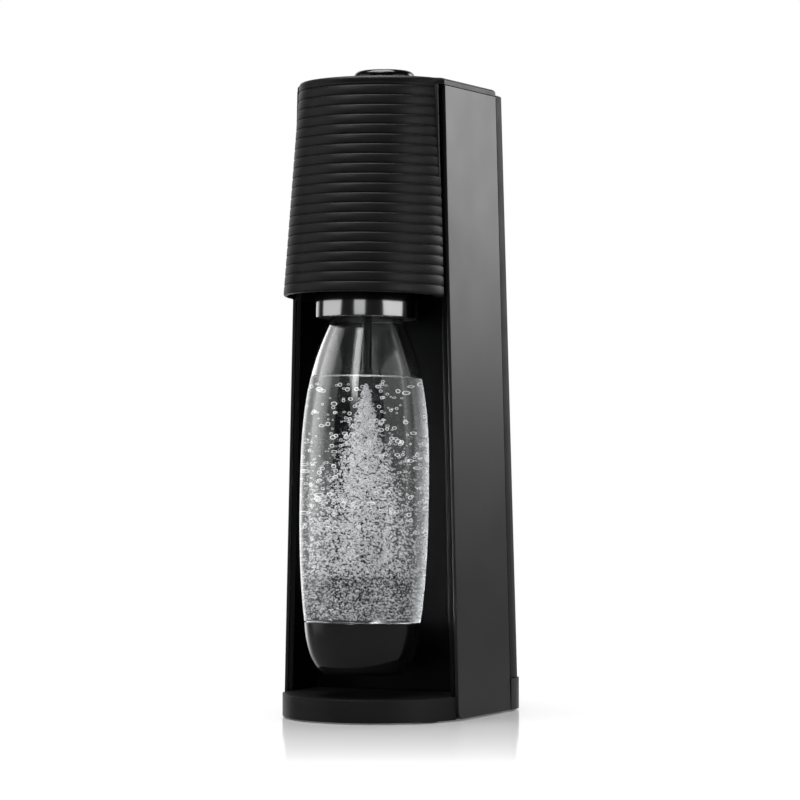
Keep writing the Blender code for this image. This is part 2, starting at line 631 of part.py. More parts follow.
def make_holder(parent):
    low, neck = neck_heights()
    foot = low - GAP
    shoulder = shoulder_points(SOCKET_CLEARANCE)
    shoulder[0] = (shoulder[0][0] + SOCKET_CLEARANCE, foot)
    socket_top = BOTTLE_LENGTH + SEAL_THICKNESS + GAP
    tube = NECK_RADIUS + SOCKET_CLEARANCE + SOCKET_WALL
    top = foot + COLLAR_HEIGHT
    outer = [(COLLAR_RADIUS, foot), (COLLAR_RADIUS, top), (tube, top), (tube, socket_top)]
    inner = [(shoulder[-1][0], socket_top), *shoulder[::-1]]
    place(turned(to_axis(outer + inner)), "bottle_collar", "black_plastic", parent, (0, 0, 0))

    ring = COLLAR_RADIUS + GAP
    trim = [(ring, foot), (ring + TRIM_THICKNESS, foot), (ring + TRIM_THICKNESS, foot + TRIM_HEIGHT),
            (ring, foot + TRIM_HEIGHT)]
    place(turned(to_axis(trim), 48), "collar_trim_ring", "steel", parent, (0, 0, 0))

    hole = NOZZLE_RADIUS + GAP
    rim = NECK_RADIUS + SOCKET_CLEARANCE - GAP
    seal_low = BOTTLE_LENGTH + GAP
    seal = [(hole, seal_low), (rim, seal_low), (rim, seal_low + SEAL_THICKNESS), (hole, seal_low + SEAL_THICKNESS)]
    place(turned(to_axis(seal), 24), "neck_seal", "rubber", parent, (0, 0, 0))

    block_low = socket_top + GAP
    pivot = BOTTLE_LENGTH + PIVOT_RISE
    bore_top = pivot - PIVOT_RADIUS - 0.0015
    body = [(hole, block_low), (BLOCK_RADIUS, block_low), (BLOCK_RADIUS, pivot + 0.0075), (0, pivot + 0.0075),
            (0, bore_top), (hole, bore_top)]
    piece = place(turned(to_axis(body), 24), "nozzle_block", "inner_plastic", parent, (0, 0, 0))
    cut(piece, rod((-0.02, 0, 0), (0.02, 0, 0), PIVOT_RADIUS + GAP, 20))
    place(rod((-PIVOT_PIN_HALF, 0, 0), (PIVOT_PIN_HALF, 0, 0), PIVOT_RADIUS), "holder_pivot_pin", "steel",
          parent, (0, 0, 0))

    tip_low = BOTTLE_LENGTH - NOZZLE_LENGTH
    tip_high = tip_low + 0.0035
    tube = [(NOZZLE_BORE, tip_low + 0.0006), (NOZZLE_RADIUS, tip_low + 0.0006), (NOZZLE_RADIUS, bore_top - GAP),
            (NOZZLE_BORE, bore_top - GAP)]
    place(turned(to_axis(tube), 16), "nozzle_tube", "black_plastic", parent, (0, 0, 0))
    tip = [(hole, tip_low + 0.0003), (TIP_RADIUS - 0.0008, tip_low), (TIP_RADIUS, tip_low + 0.001),
           (TIP_RADIUS, tip_high), (hole, tip_high)]
    place(turned(to_axis(tip), 16), "nozzle_tip", "black_plastic", parent, (0, 0, 0))


# ---------------------------------------------------------------- button
def make_button():
    axis = pivot_empty("button_axis", (0, BUTTON_Y, 0))
    top, roof = BUTTON_TOP_Z, BUTTON_ROOF_Z
    skirt = roof - BUTTON_SKIRT + BUTTON_WALL
    radius = BUTTON_RADIUS
    edge = top - BUTTON_DOME
    profile = [(0, top), (radius * 0.45, top - BUTTON_DOME * 0.12), (radius * 0.80, top - BUTTON_DOME * 0.45),
               (radius * 0.95, top - BUTTON_DOME * 0.75), (radius, edge - 0.0012), (radius, skirt),
               (radius - BUTTON_WALL, skirt), (radius - BUTTON_WALL, roof), (0, roof)]
    place(turned(profile, ROUND, closed=False), "carbonating_button", "gloss_black", axis, (0, 0, 0))
    stem_top = roof - GAP
    stem = [(0, LEVER_TOP_Z + GAP), (STEM_RADIUS * 0.34, LEVER_TOP_Z + GAP), (STEM_RADIUS, LEVER_TOP_Z + 0.0035),
            (STEM_RADIUS, stem_top), (0, stem_top)]
    place(turned(stem, 20, closed=False), "button_stem", "inner_plastic", axis, (0, 0, 0))

    floor = GUIDE_FLOOR_Z
    top = LID_Z - GAP
    outer = GUIDE_BORE + GUIDE_WALL
    flange = outer + GUIDE_FLANGE
    guide = [(STEM_RADIUS + 0.0008, floor), (outer, floor), (outer, top - GUIDE_WALL), (flange, top - GUIDE_WALL),
             (flange, top), (GUIDE_BORE, top), (GUIDE_BORE, floor + GUIDE_WALL),
             (STEM_RADIUS + 0.0008, floor + GUIDE_WALL)]
    place(turned(guide), "button_guide", "inner_plastic", axis, (0, 0, 0))

    low = floor + GUIDE_WALL + GAP + SPRING_WIRE
    high = roof - GAP - SPRING_WIRE
    make_spring("button_spring", axis, low, high)


def make_spring(name, parent, low, high):
    """A coil spring about the parent's Z axis, with a flat turn at each end."""
    steps = 14 * SPRING_TURNS
    sides = 6
    rings = []
    for i in range(steps + 1):
        share = i / steps
        angle = 2 * pi * SPRING_TURNS * share
        rise = min(max((share * SPRING_TURNS - 0.6) / (SPRING_TURNS - 1.2), 0), 1)
        out = Vector((cos(angle), sin(angle), 0))
        centre = out * SPRING_RADIUS + Vector((0, 0, low + (high - low) * rise))
        rings.append([centre + out * SPRING_WIRE * cos(b) + Vector((0, 0, 1)) * SPRING_WIRE * sin(b)
                      for b in (2 * pi * k / sides for k in range(sides))])
    place(loft(rings), name, "steel", parent, (0, 0, 0))


# ---------------------------------------------------------------- gas cylinder and its connection
def make_cylinder():
    axis = pivot_empty("cylinder_axis", (0, CYLINDER_Y, 0))
    radius, wall, neck = CYLINDER_RADIUS, CYLINDER_WALL, CYLINDER_NECK
    seat_floor = BASE_HEIGHT + GAP + SEAT_FLOOR
    foot = seat_floor + CYLINDER_DROP + GAP + 0.0001
    crown = NECK_Z - CYLINDER_COLLAR
    shoulder = crown - CYLINDER_DOME
    dome = [(radius - (radius - neck) * (1 - cos(a)), shoulder + (crown - shoulder) * sin(a))
            for a in (pi / 8 * i for i in range(5))]
    mouth = VALVE_RADIUS - 0.0015
    outer = [(0, foot), (radius - 0.003, foot), (radius, foot + 0.003), *dome, (neck, NECK_Z)]
    inner = [(mouth, NECK_Z), (mouth, crown - wall * 0.5), (radius - wall, shoulder), (radius - wall, foot + wall),
             (0, foot + wall)]
    place(turned(outer + inner, ROUND, closed=False), "co2_cylinder", "grey_metal", axis, (0, 0, 0))

    fit = mouth - GAP
    low, top = NECK_Z - 0.008, VALVE_TOP_Z
    bore = VALVE_PIN_RADIUS + GAP
    pin_top = top + VALVE_PIN_RISE
    pin_low = pin_top - VALVE_PIN_LENGTH
    bore_low = pin_low - BUTTON_TRAVEL * LEVER_HEEL / (LEVER_Y - BUTTON_Y) - 0.0010
    valve = [(0, low), (fit, low), (fit, NECK_Z + GAP), (VALVE_RADIUS, NECK_Z + GAP), (VALVE_RADIUS, top),
             (bore, top), (bore, bore_low), (0, bore_low)]
    place(turned(valve, 24, closed=False), "cylinder_valve", "brass", axis, (0, 0, 0))
    place(rod((0, 0, pin_low), (0, 0, pin_top), VALVE_PIN_RADIUS, 12), "valve_pin", "steel", axis, (0, 0, 0))

    rim = radius + 0.0006
    low = BASE_HEIGHT + GAP
    seat = [(0, low), (rim + SEAT_WALL, low), (rim + SEAT_WALL, low + SEAT_RIM), (rim, low + SEAT_RIM),
            (rim, seat_floor), (0, seat_floor)]
    place(turned(seat, ROUND, closed=False), "cylinder_seat", "inner_plastic", axis, (0, 0, 0))


YOKE_FRONT_Y = CYLINDER_Y - 0.019
YOKE_NECK_Y = CYLINDER_Y - 0.008
YOKE_HALF = 0.026
MANIFOLD_HALF = 0.014
MANIFOLD_REACH = 0.004        # manifold ahead of the yoke
MANIFOLD_HEIGHT = 0.007
HOSE_RADIUS = 0.0028
LUG_INNER = LEVER_WIDTH / 2 + 0.0006
LUG_OUTER = LUG_INNER + 0.0034


def make_yoke():
    low, top = YOKE_Z, YOKE_TOP_Z
    wide = wall_inner(top) - GAP
    rear = LEVER_Y + 0.003
    yoke = place(block((-wide, YOKE_FRONT_Y, low), (wide, YOKE_NECK_Y, top)), "valve_yoke", "inner_plastic")
    lugs = [block((min(s * LUG_INNER, s * LUG_OUTER), LEVER_Y - 0.003, top - 0.002),
                  (max(s * LUG_INNER, s * LUG_OUTER), LEVER_Y + 0.003, LEVER_Z + 0.0035)) for s in (1, -1)]
    join(yoke, block((-YOKE_HALF, YOKE_NECK_Y - 0.003, low), (YOKE_HALF, rear, top)), *lugs)
    cut(yoke, rod((0, CYLINDER_Y, low - 0.01), (0, CYLINDER_Y, top + 0.01), VALVE_RADIUS + 0.0007, 24),
        rod((-0.02, LEVER_Y, LEVER_Z), (0.02, LEVER_Y, LEVER_Z), SMALL_PIN_RADIUS + GAP, 12))
    bore = SMALL_PIN_RADIUS + GAP
    seat = YOKE_HALF - 0.007
    for side in (1, -1):
        cut(yoke, rod((side * seat, CYLINDER_Y, HANDLE_Z), (side * 0.04, CYLINDER_Y, HANDLE_Z), bore, 12))
    half = LUG_OUTER + 0.0015
    place(rod((-half, LEVER_Y, LEVER_Z), (half, LEVER_Y, LEVER_Z), SMALL_PIN_RADIUS, 12), "lever_pin", "steel")

    body = block((-MANIFOLD_HALF, YOKE_FRONT_Y - MANIFOLD_REACH, top + GAP),
                 (MANIFOLD_HALF, YOKE_FRONT_Y + 0.006, top + MANIFOLD_HEIGHT))
    place(body, "manifold_block", "brass")
    z = top + GAP + MANIFOLD_HEIGHT / 2
    y = YOKE_FRONT_Y + 0.001
    place(rod((MANIFOLD_HALF + GAP, y, z), (0.030, y, z), 0.0032, 16), "relief_valve", "brass")


def make_lever():
    axis = pivot_empty("lever_axis", (0, LEVER_Y, LEVER_Z))
    half = LEVER_WIDTH / 2
    front = BUTTON_Y - LEVER_Y - 0.0040
    thick = LEVER_THICKNESS / 2
    lever = place(block((-half, front, -thick), (half, 0.003, thick)), "valve_lever", "inner_plastic",
                  axis, (0, 0, 0))
    cut(lever, rod((-0.02, 0, 0), (0.02, 0, 0), SMALL_PIN_RADIUS + GAP, 12))


def make_handle():
    axis = pivot_empty("handle_axis", (0, CYLINDER_Y, HANDLE_Z))
    inner = YOKE_HALF + 0.0055
    outer = inner + HANDLE_ARM
    bar = HANDLE_BAR / 2
    front = -0.005
    rear_in, rear_out = HANDLE_REACH - bar, HANDLE_REACH + bar
    outline = [(-outer, front), (-inner, front), (-inner, rear_in), (inner, rear_in), (inner, front),
               (outer, front), (outer, rear_out), (-outer, rear_out)]
    half = HANDLE_HEIGHT / 2
    bm = loft([[(x, y, z) for x, y in outline] for z in (-half, half)])
    handle = place(bm, "quick_connect_handle", "handle_plastic", axis, (0, 0, 0))
    seat = YOKE_HALF - 0.0065
    for side, name in ((1, "handle_pin_right"), (-1, "handle_pin_left")):
        cut(handle, rod((side * (inner - 0.002), 0, 0), (side * (outer + 0.002), 0, 0), SMALL_PIN_RADIUS + GAP, 12))
        place(rod((side * seat, 0, 0), (side * outer, 0, 0), SMALL_PIN_RADIUS, 12), name, "steel", axis, (0, 0, 0))


def smooth_route(points, count):
    """Points along a Catmull-Rom curve through the given ones."""
    points = [Vector(p) for p in points]
    ends = [points[0] * 2 - points[1], *points, points[-1] * 2 - points[-2]]
    found = []
    spans = len(points) - 1
    for i in range(count):
        t = spans * i / (count - 1)
        k = min(int(t), spans - 1)
        u = t - k
        a, b, c, d = ends[k:k + 4]
        found.append(0.5 * (2 * b + (c - a) * u + (2 * a - 5 * b + 4 * c - d) * u * u
                            + (3 * b - a - 3 * c + d) * u ** 3))
    return found


def make_gas_line():
    """The hose from the manifold to the inlet beside the holder's pivot."""
    x = -PIVOT_PIN_HALF - GAP
    y = HEAD_BACK_Y
    low, top = PIVOT_Z - 0.005, PIVOT_Z + 0.006
    place(block((x - 0.0075, y - 0.005, low), (x, y + 0.005, top)), "gas_inlet", "brass")
    start = Vector((x - 0.0037, y, top + GAP))
    end = Vector((-0.0085, YOKE_FRONT_Y - MANIFOLD_REACH - 2.5 * GAP, YOKE_TOP_Z + GAP + 0.0036))
    rise = end.z - start.z
    back = end.y - start.y
    route = [start, start + Vector((0, 0.0005, 0.012)),
             start + Vector((0.002, back * 0.10, rise * 0.50)),
             Vector((start.x * 0.78, start.y + back * 0.42, start.z + rise * 0.80)),
             Vector((start.x * 0.42, start.y + back * 0.76, end.z - 0.0015)),
             end - Vector((0, 0.004, 0.0)), end]
    curve = bpy.data.curves.new("gas_hose", "CURVE")
    curve.dimensions = "3D"
    curve.bevel_depth = HOSE_RADIUS
    curve.bevel_resolution = 1
    curve.use_fill_caps = True
    spline = curve.splines.new("POLY")
    points = smooth_route(route, 22)
    spline.points.add(len(points) - 1)
    for target, point in zip(spline.points, points):
        target.co = (*point, 1)
    hose = bpy.data.objects.new("gas_hose", curve)
    curve.materials.append(material("rubber"))
    bpy.context.collection.objects.link(hose)


# ---------------------------------------------------------------- rear cover
def make_rear_cover():
    low = BASE_REAR_HEIGHT + GAP
    top = LID_Z + 0.0007
    axis = pivot_empty("cover_axis", (0, BACK_Y - COVER_STEP, low))
    here = axis.location.copy()

    def ring(z, inset, ahead):
        front = seam_y(z) + GAP + 0.0002 - ahead
        return cover_ring(z, inset, front)

    bm = loft([ring(low, 0, 0), ring(top, 0, 0)])
    cover = place(bm, "rear_cover", "black_plastic", axis, here)
    shapes = [loft([ring(low - 0.006, COVER_WALL, 0.01), ring(top - COVER_WALL, COVER_WALL, 0.01)])]
    z = top - LATCH_DROP
    wall_y = cover_ring(z, 0, 0)[8][1]
    half, tall = LATCH_WIDTH / 2, LATCH_HEIGHT / 2
    play = 0.0004
    shapes.append(block((-half - play, wall_y - 0.02, z - tall - play), (half + play, wall_y + 0.02, z + tall + play)))
    for index, shape in enumerate(shapes):
        shape.transform(Matrix.Translation(-here))
    cut(cover, *shapes)

    lean = COVER_SETBACK_TOP / (LID_Z - BASE_REAR_HEIGHT) * (tall + 0.003)
    stop = wall_y - COVER_WALL - lean - GAP
    latch = place(block((-half, stop - 0.002, z - tall), (half, wall_y + LATCH_PROUD, z + tall)), "cover_latch",
                  "gloss_black", axis, here)
    flange = block((-half - 0.003, stop - 0.0022, z - tall - 0.003), (half + 0.003, stop, z + tall + 0.003))
    flange.transform(Matrix.Translation(-here))
    join(latch, flange)


def build():
    clear_scene()
    make_base()
    make_column()
    make_head()
    make_chassis()
    holder_axis = pivot_empty("holder_axis", PIVOT, BOTTLE_LEAN)
    make_holder(holder_axis)
    make_bottle(holder_axis)
    make_button()
    make_cylinder()
    make_yoke()
    make_lever()
    make_handle()
    make_gas_line()
    make_rear_cover()


build()
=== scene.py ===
# %% [markdown]
# # A soda carbonator
# A soda carbonator pushes gas from a cylinder at its back into a bottle of water at its front. This lesson
# builds its looks around a fixed engineering model: the frame gives every piece its place, and nothing in
# the frame is moved. Pieces that the eye meets first are modelled again with softer, finer shapes.

# %% Load the frame
import json
from math import cos, pi, radians, sin

import bmesh
import bpy
import numpy as np
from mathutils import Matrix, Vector


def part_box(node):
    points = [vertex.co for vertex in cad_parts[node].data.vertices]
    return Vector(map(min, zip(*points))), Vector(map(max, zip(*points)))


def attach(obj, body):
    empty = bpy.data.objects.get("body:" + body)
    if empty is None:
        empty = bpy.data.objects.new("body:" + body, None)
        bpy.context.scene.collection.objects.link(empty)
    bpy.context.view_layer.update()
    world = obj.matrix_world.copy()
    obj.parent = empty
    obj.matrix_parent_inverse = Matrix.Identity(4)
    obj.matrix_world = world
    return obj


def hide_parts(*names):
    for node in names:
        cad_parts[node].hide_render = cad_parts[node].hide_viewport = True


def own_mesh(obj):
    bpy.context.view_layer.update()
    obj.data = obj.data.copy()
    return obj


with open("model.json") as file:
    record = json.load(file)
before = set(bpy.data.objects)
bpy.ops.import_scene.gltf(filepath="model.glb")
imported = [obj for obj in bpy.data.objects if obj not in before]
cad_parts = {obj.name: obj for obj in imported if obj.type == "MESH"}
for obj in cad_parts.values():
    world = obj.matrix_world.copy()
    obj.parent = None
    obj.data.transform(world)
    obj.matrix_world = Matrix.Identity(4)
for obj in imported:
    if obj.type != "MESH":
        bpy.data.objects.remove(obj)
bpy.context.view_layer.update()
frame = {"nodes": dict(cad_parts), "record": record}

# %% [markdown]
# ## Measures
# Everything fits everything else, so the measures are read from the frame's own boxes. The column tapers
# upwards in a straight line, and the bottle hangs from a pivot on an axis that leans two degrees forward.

GAP = 0.0003
panel_low, panel_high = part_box("side_panel_right")
lid_low, lid_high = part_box("top_cap")
pin_low, pin_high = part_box("holder_pivot_pin")
button_low, button_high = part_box("carbonating_button")

LID_Z = lid_low.z
GROOVE = 0.0035
HEAD_BACK = panel_low.y - GROOVE
HEAD_HEIGHT = 0.1417
RIM_Z = LID_Z - HEAD_HEIGHT
PIVOT = (pin_low + pin_high) / 2
LEAN = radians(2)


def panel_half(z):
    """Outer face of the side panels at a height."""
    share = (z - panel_low.z) / (LID_Z - panel_low.z)
    return panel_high.x + (lid_high.x + GAP - panel_high.x) * share


print(f"head from {RIM_Z:.4f} to {LID_Z:.4f}, pivot at {PIVOT.y:.4f}, {PIVOT.z:.4f}")

# %% [markdown]
# ## Small tools
# A new primitive arrives selected, and edit mode works on all that is selected. These helpers make one
# piece the only active one, select by place, and finish a piece: its origin goes to the middle of the
# world, its shading is smoothed, and it is told which body it moves with.


# %% Tools for selecting and finishing
def clear_selection():
    bpy.ops.object.select_all(action="DESELECT")


def select_whole():
    """Selects everything in the open mesh."""
    bpy.ops.mesh.select_all(action="SELECT")


def face_outwards():
    """Turns every face of the open mesh outwards, and leaves them all selected."""
    select_whole()
    bpy.ops.mesh.normals_make_consistent(inside=False)


def alone(piece):
    """Makes one piece the only selected and active one."""
    clear_selection()
    piece.select_set(True)
    bpy.context.view_layer.objects.active = piece


def newest(name):
    """Names the primitive just added and moves its place into its mesh."""
    piece = bpy.context.object
    piece.name = name
    bpy.ops.object.transform_apply(location=True, rotation=True, scale=True)
    return piece


def open_mesh(piece):
    alone(piece)
    bpy.ops.object.mode_set(mode="EDIT")


def close_mesh():
    bpy.ops.object.mode_set(mode="OBJECT")


def pick(kind, test):
    """Selects the open mesh's verts, edges or faces that pass a test, and counts them."""
    mode = {"verts": "VERT", "edges": "EDGE", "faces": "FACE"}[kind]
    bpy.ops.mesh.select_mode(type=mode)
    bpy.ops.mesh.select_all(action="DESELECT")
    mesh = bpy.context.object.data
    parts = [p for p in getattr(bmesh.from_edit_mesh(mesh), kind) if test(p)]
    for part in parts:
        part.select_set(True)
    bmesh.update_edit_mesh(mesh)
    return len(parts)


def middle(edge):
    return (edge.verts[0].co + edge.verts[1].co) / 2


def lift(vector):
    """Extrudes the selected edges and keeps the new ones selected."""
    bpy.ops.mesh.extrude_edges_move(TRANSFORM_OT_translate={"value": vector})


def move(vector):
    """Moves what is selected."""
    bpy.ops.transform.translate(value=vector)


def resize(factors, about):
    """Scales what is selected about a point."""
    bpy.ops.transform.resize(value=factors, center_override=about)


def apply_modifier(piece, kind, **settings):
    """Adds one modifier and makes its result the mesh."""
    alone(piece)
    modifier = piece.modifiers.new(kind.lower(), kind)
    for key, value in settings.items():
        setattr(modifier, key, value)
    bpy.ops.object.modifier_apply(modifier=modifier.name)


def soften(piece, width, segments=3, angle=30):
    apply_modifier(piece, "BEVEL", width=width, segments=segments, limit_method="ANGLE",
                   angle_limit=radians(angle), harden_normals=False)


def settle(piece, body, slot, *nodes, angle=35, flat=False):
    """Finishes a piece: plain place, smooth shading, its body, its slot and the nodes it stands for."""
    alone(piece)
    bpy.ops.object.transform_apply(location=True, rotation=True, scale=True)
    bpy.ops.object.shade_smooth_by_angle(angle=radians(angle))
    if flat:
        apply_modifier(piece, "WEIGHTED_NORMAL", keep_sharp=True, weight=100)
    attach(piece, body)
    if nodes:
        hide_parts(*nodes)
    piece.data.materials.clear()
    piece.data.materials.append(finishes[slot])
    print(f"{piece.name}: {len(piece.data.polygons)} faces on {body}")


# %% [markdown]
# Materials, lights and the world are all node trees. One helper adds a node and fills or links its inputs,
# and another stretches a value from one range to another.


# %% Node helpers
def add(tree, kind, inputs=None, **settings):
    """Adds a node, sets its options, and sets or links its inputs."""
    made = tree.nodes.new(kind)
    for key, value in settings.items():
        setattr(made, key, value)
    for key, value in (inputs or {}).items():
        if isinstance(value, bpy.types.NodeSocket):
            tree.links.new(value, made.inputs[key])
        else:
            made.inputs[key].default_value = value
    return made


def ranged(tree, value, low, high, start, end, smooth=False):
    """Maps low..high to start..end."""
    return add(tree, "ShaderNodeMapRange", {"Value": value, "From Min": low, "From Max": high,
                                            "To Min": start, "To Max": end},
               interpolation_type="SMOOTHSTEP" if smooth else "LINEAR").outputs["Result"]


def combine(tree, operation, first, second, **settings):
    """Works out one value from two."""
    return add(tree, "ShaderNodeMath", {0: first, 1: second}, operation=operation, **settings).outputs[0]


# %% [markdown]
# ## Camera
# The object is seen from its front right, a little below its middle, through a long lens. The camera is
# level, and its lens is shifted instead of tipped, so that upright edges stay parallel.

# %% Place the camera
CAMERA_TURN = radians(26)
camera_data = bpy.data.cameras.new("studio_camera")
camera_data.lens = 141.3
camera_data.sensor_width = 36.0
camera_data.shift_y = 0.0443
camera = bpy.data.objects.new("studio_camera", camera_data)
camera.location = (0.9431, -1.9177, 0.1897)
camera.rotation_euler = (pi / 2, 0, CAMERA_TURN)
bpy.context.scene.collection.objects.link(camera)
bpy.context.scene.camera = camera
print("camera", tuple(camera.location))

# %% [markdown]
# ## Floor and light
# A black object on white needs large, soft lights: the shape is drawn by what its surfaces reflect. Panels
# hang at the left, the front, the right and above, and a card behind at the right gives the side panel its
# falling grey. The floor fades out to the white round it. It mirrors less and less along one fixed line,
# from the object towards the front right, and it is fainter in mirror reflections than seen directly.


# %% Build the floor
TOWARDS_CAMERA = (sin(CAMERA_TURN), -cos(CAMERA_TURN), 0)
FLOOR_RADIUS = 0.9
FLOOR_TONE = 0.93
MIRROR_LEVEL = 0.62
MIRROR_NEAR, MIRROR_FAR = 0.04, 0.36
MIRRORED_SHARE = 0.25
clear_selection()
bpy.ops.mesh.primitive_circle_add(vertices=96, radius=FLOOR_RADIUS, fill_type="NGON", location=(0, 0, 0))
floor = newest("studio_floor")
floor_paint = bpy.data.materials.new("floor_paint")
floor_paint.use_nodes = True
paint = floor_paint.node_tree
floor_shader = paint.nodes["Principled BSDF"]
floor_shader.inputs["Base Color"].default_value = (FLOOR_TONE, FLOOR_TONE, FLOOR_TONE, 1)
floor_shader.inputs["Roughness"].default_value = 0.10
floor_shader.inputs["Emission Color"].default_value = (1, 1, 1, 1)
floor_shader.inputs["Emission Strength"].default_value = 0.08
floor_place = add(paint, "ShaderNodeTexCoord").outputs["Object"]
away = add(paint, "ShaderNodeTexGradient", {"Vector": floor_place}, gradient_type="SPHERICAL")
solid = ranged(paint, away.outputs["Fac"], 0.12, 0.62, 0, 1, smooth=True)
ahead = add(paint, "ShaderNodeVectorMath", {0: floor_place, 1: TOWARDS_CAMERA}, operation="DOT_PRODUCT")
fading = ranged(paint, ahead.outputs["Value"], MIRROR_NEAR, MIRROR_FAR, MIRROR_LEVEL, 0.0)
paint.links.new(combine(paint, "POWER", fading, 3.0), floor_shader.inputs["Specular IOR Level"])
mirrored = add(paint, "ShaderNodeLightPath").outputs["Is Glossy Ray"]
kept = ranged(paint, mirrored, 0, 1, 1, MIRRORED_SHARE)
paint.links.new(combine(paint, "MULTIPLY", solid, kept), floor_shader.inputs["Alpha"])
floor.data.materials.append(floor_paint)
print("floor", tuple(floor.dimensions))


# %% Hang the lights
def softbox(name, place, aim, width, height, power, fade=0.3, only=None):
    """A rectangular light that faces a point and fades towards its rim.

    only names the pieces that it lights, and nothing else then shades them from it.
    """
    data = bpy.data.lights.new(name, "AREA")
    data.shape = "RECTANGLE"
    data.size = width
    data.size_y = height
    data.energy = power
    data.use_nodes = True
    tree = data.node_tree
    surface = add(tree, "ShaderNodeNewGeometry")
    across = add(tree, "ShaderNodeSeparateXYZ", {0: surface.outputs["Parametric"]})
    humps = []
    for axis in ("X", "Y"):
        rest = combine(tree, "SUBTRACT", 1.0, across.outputs[axis])
        hump = combine(tree, "MULTIPLY", across.outputs[axis], rest)
        humps.append(ranged(tree, hump, 0.0, 0.25 * fade, 0, 1, smooth=True))
    tree.links.new(combine(tree, "MULTIPLY", humps[0], humps[1]), tree.nodes["Emission"].inputs["Strength"])
    light = bpy.data.objects.new(name, data)
    light.location = place
    light.rotation_euler = (Vector(aim) - Vector(place)).to_track_quat("-Z", "Y").to_euler()
    bpy.context.scene.collection.objects.link(light)
    if only:
        light.light_linking.receiver_collection = only
        light.light_linking.blocker_collection = only


softbox("left_softbox", (-1.45, -0.85, 0.62), (0, 0, 0.30), 1.90, 1.40, 5.5)
softbox("front_softbox", (0.39, -2.27, 0.50), (0, 0, 0.28), 1.05, 1.20, 2.2)
softbox("right_softbox", (1.60, -0.12, 0.55), (0, 0, 0.28), 1.60, 1.30, 5.0)
softbox("back_right_card", (0.98, 1.72, 0.90), (0.05, 0, 0.36), 1.10, 1.40, 24, fade=0.8)
softbox("top_softbox", (-0.10, -0.15, 1.75), (0, 0, 0.30), 1.30, 1.30, 38)

# %% [markdown]
# Some lights are meant for a few pieces only. A clear bottle shows little but the lights it mirrors, and
# lights strong enough for it would grey the black plastic round it. Two more, from high at the left and
# from the right, draw thin bright lines on the edges of the ribs and the base. Light linking keeps them
# apart, and the other pieces cast no shadow in these lights.

# %% Lights for a few pieces
clear_pieces = bpy.data.collections.new("clear_pieces")
edged_pieces = bpy.data.collections.new("edged_pieces")
softbox("bottle_left_glow", (-1.48, -0.50, 0.70), (0, 0, 0.20), 1.50, 2.20, 27, fade=1.0, only=clear_pieces)
softbox("bottle_left_rim", (-1.45, 1.05, 0.50), (0, 0, 0.20), 0.80, 1.80, 5, fade=0.6, only=clear_pieces)
softbox("bottle_right_rim", (0.12, 1.80, 0.50), (0, 0, 0.20), 1.20, 1.80, 8, fade=0.6, only=clear_pieces)
softbox("bottle_right_glow", (1.50, 0.60, 0.55), (0, 0, 0.20), 0.60, 1.80, 4, fade=1.0, only=clear_pieces)
softbox("shoulder_glow", (0.16, -1.95, 1.80), (0, 0, 0.25), 0.62, 2.00, 20, fade=0.5, only=clear_pieces)
softbox("rib_light", (-0.75, -1.70, 1.75), (0, 0, 0.35), 0.90, 0.45, 11, only=edged_pieces)
softbox("rib_right_light", (1.60, -0.60, 0.55), (0, 0, 0.35), 1.00, 1.00, 4, only=edged_pieces)

# %% [markdown]
# The backdrop is white, and the room in front of it is dark. The world says so by direction: it is bright
# around one fixed line, back from the front right through the object, and dim elsewhere. It is plain white
# wherever it is seen directly.

# %% Light the world
world = bpy.data.worlds.new("studio_world")
bpy.context.scene.world = world
world.use_nodes = True
room = world.node_tree
background = room.nodes["Background"]
background.inputs["Color"].default_value = (1, 1, 1, 1)
ROOM_GLOW = 0.012
room_place = add(room, "ShaderNodeTexCoord").outputs["Generated"]
behind = add(room, "ShaderNodeVectorMath", {0: room_place, 1: [-c for c in TOWARDS_CAMERA]},
             operation="DOT_PRODUCT")
backdrop = ranged(room, behind.outputs["Value"], 0.62, 0.93, ROOM_GLOW, 1.0, smooth=True)
seen_directly = add(room, "ShaderNodeLightPath").outputs["Is Camera Ray"]
room.links.new(combine(room, "MAXIMUM", backdrop, seen_directly), background.inputs["Strength"])
bpy.context.scene.view_settings.view_transform = "Standard"

# %% [markdown]
# ## Shared effects
# Moulded plastic has a fine spark-eroded grain, a slow drift in gloss, and edges rubbed a little paler.
# Each effect is a node group that gives plain values, so that every finish can use it at its own scale.


# %% Make an empty effect
def effect(name, inputs, outputs):
    """A node group with float inputs and outputs, besides one vector named Place."""
    tree = bpy.data.node_groups.new(name, "ShaderNodeTree")
    tree.interface.new_socket("Place", in_out="INPUT", socket_type="NodeSocketVector")
    for label, value in inputs.items():
        socket = tree.interface.new_socket(label, in_out="INPUT", socket_type="NodeSocketFloat")
        socket.default_value = value
    for label in outputs:
        tree.interface.new_socket(label, in_out="OUTPUT", socket_type="NodeSocketFloat")
    return tree, tree.nodes.new("NodeGroupInput"), tree.nodes.new("NodeGroupOutput")


# %% [markdown]
# ### Moulded grain
# A steel mould is etched so that black plastic doesn't show every touch. Two noises make it: a fine one for
# the pits and a slow one for the uneven gloss. A bump texture suits it, because the pits are far smaller
# than any face.

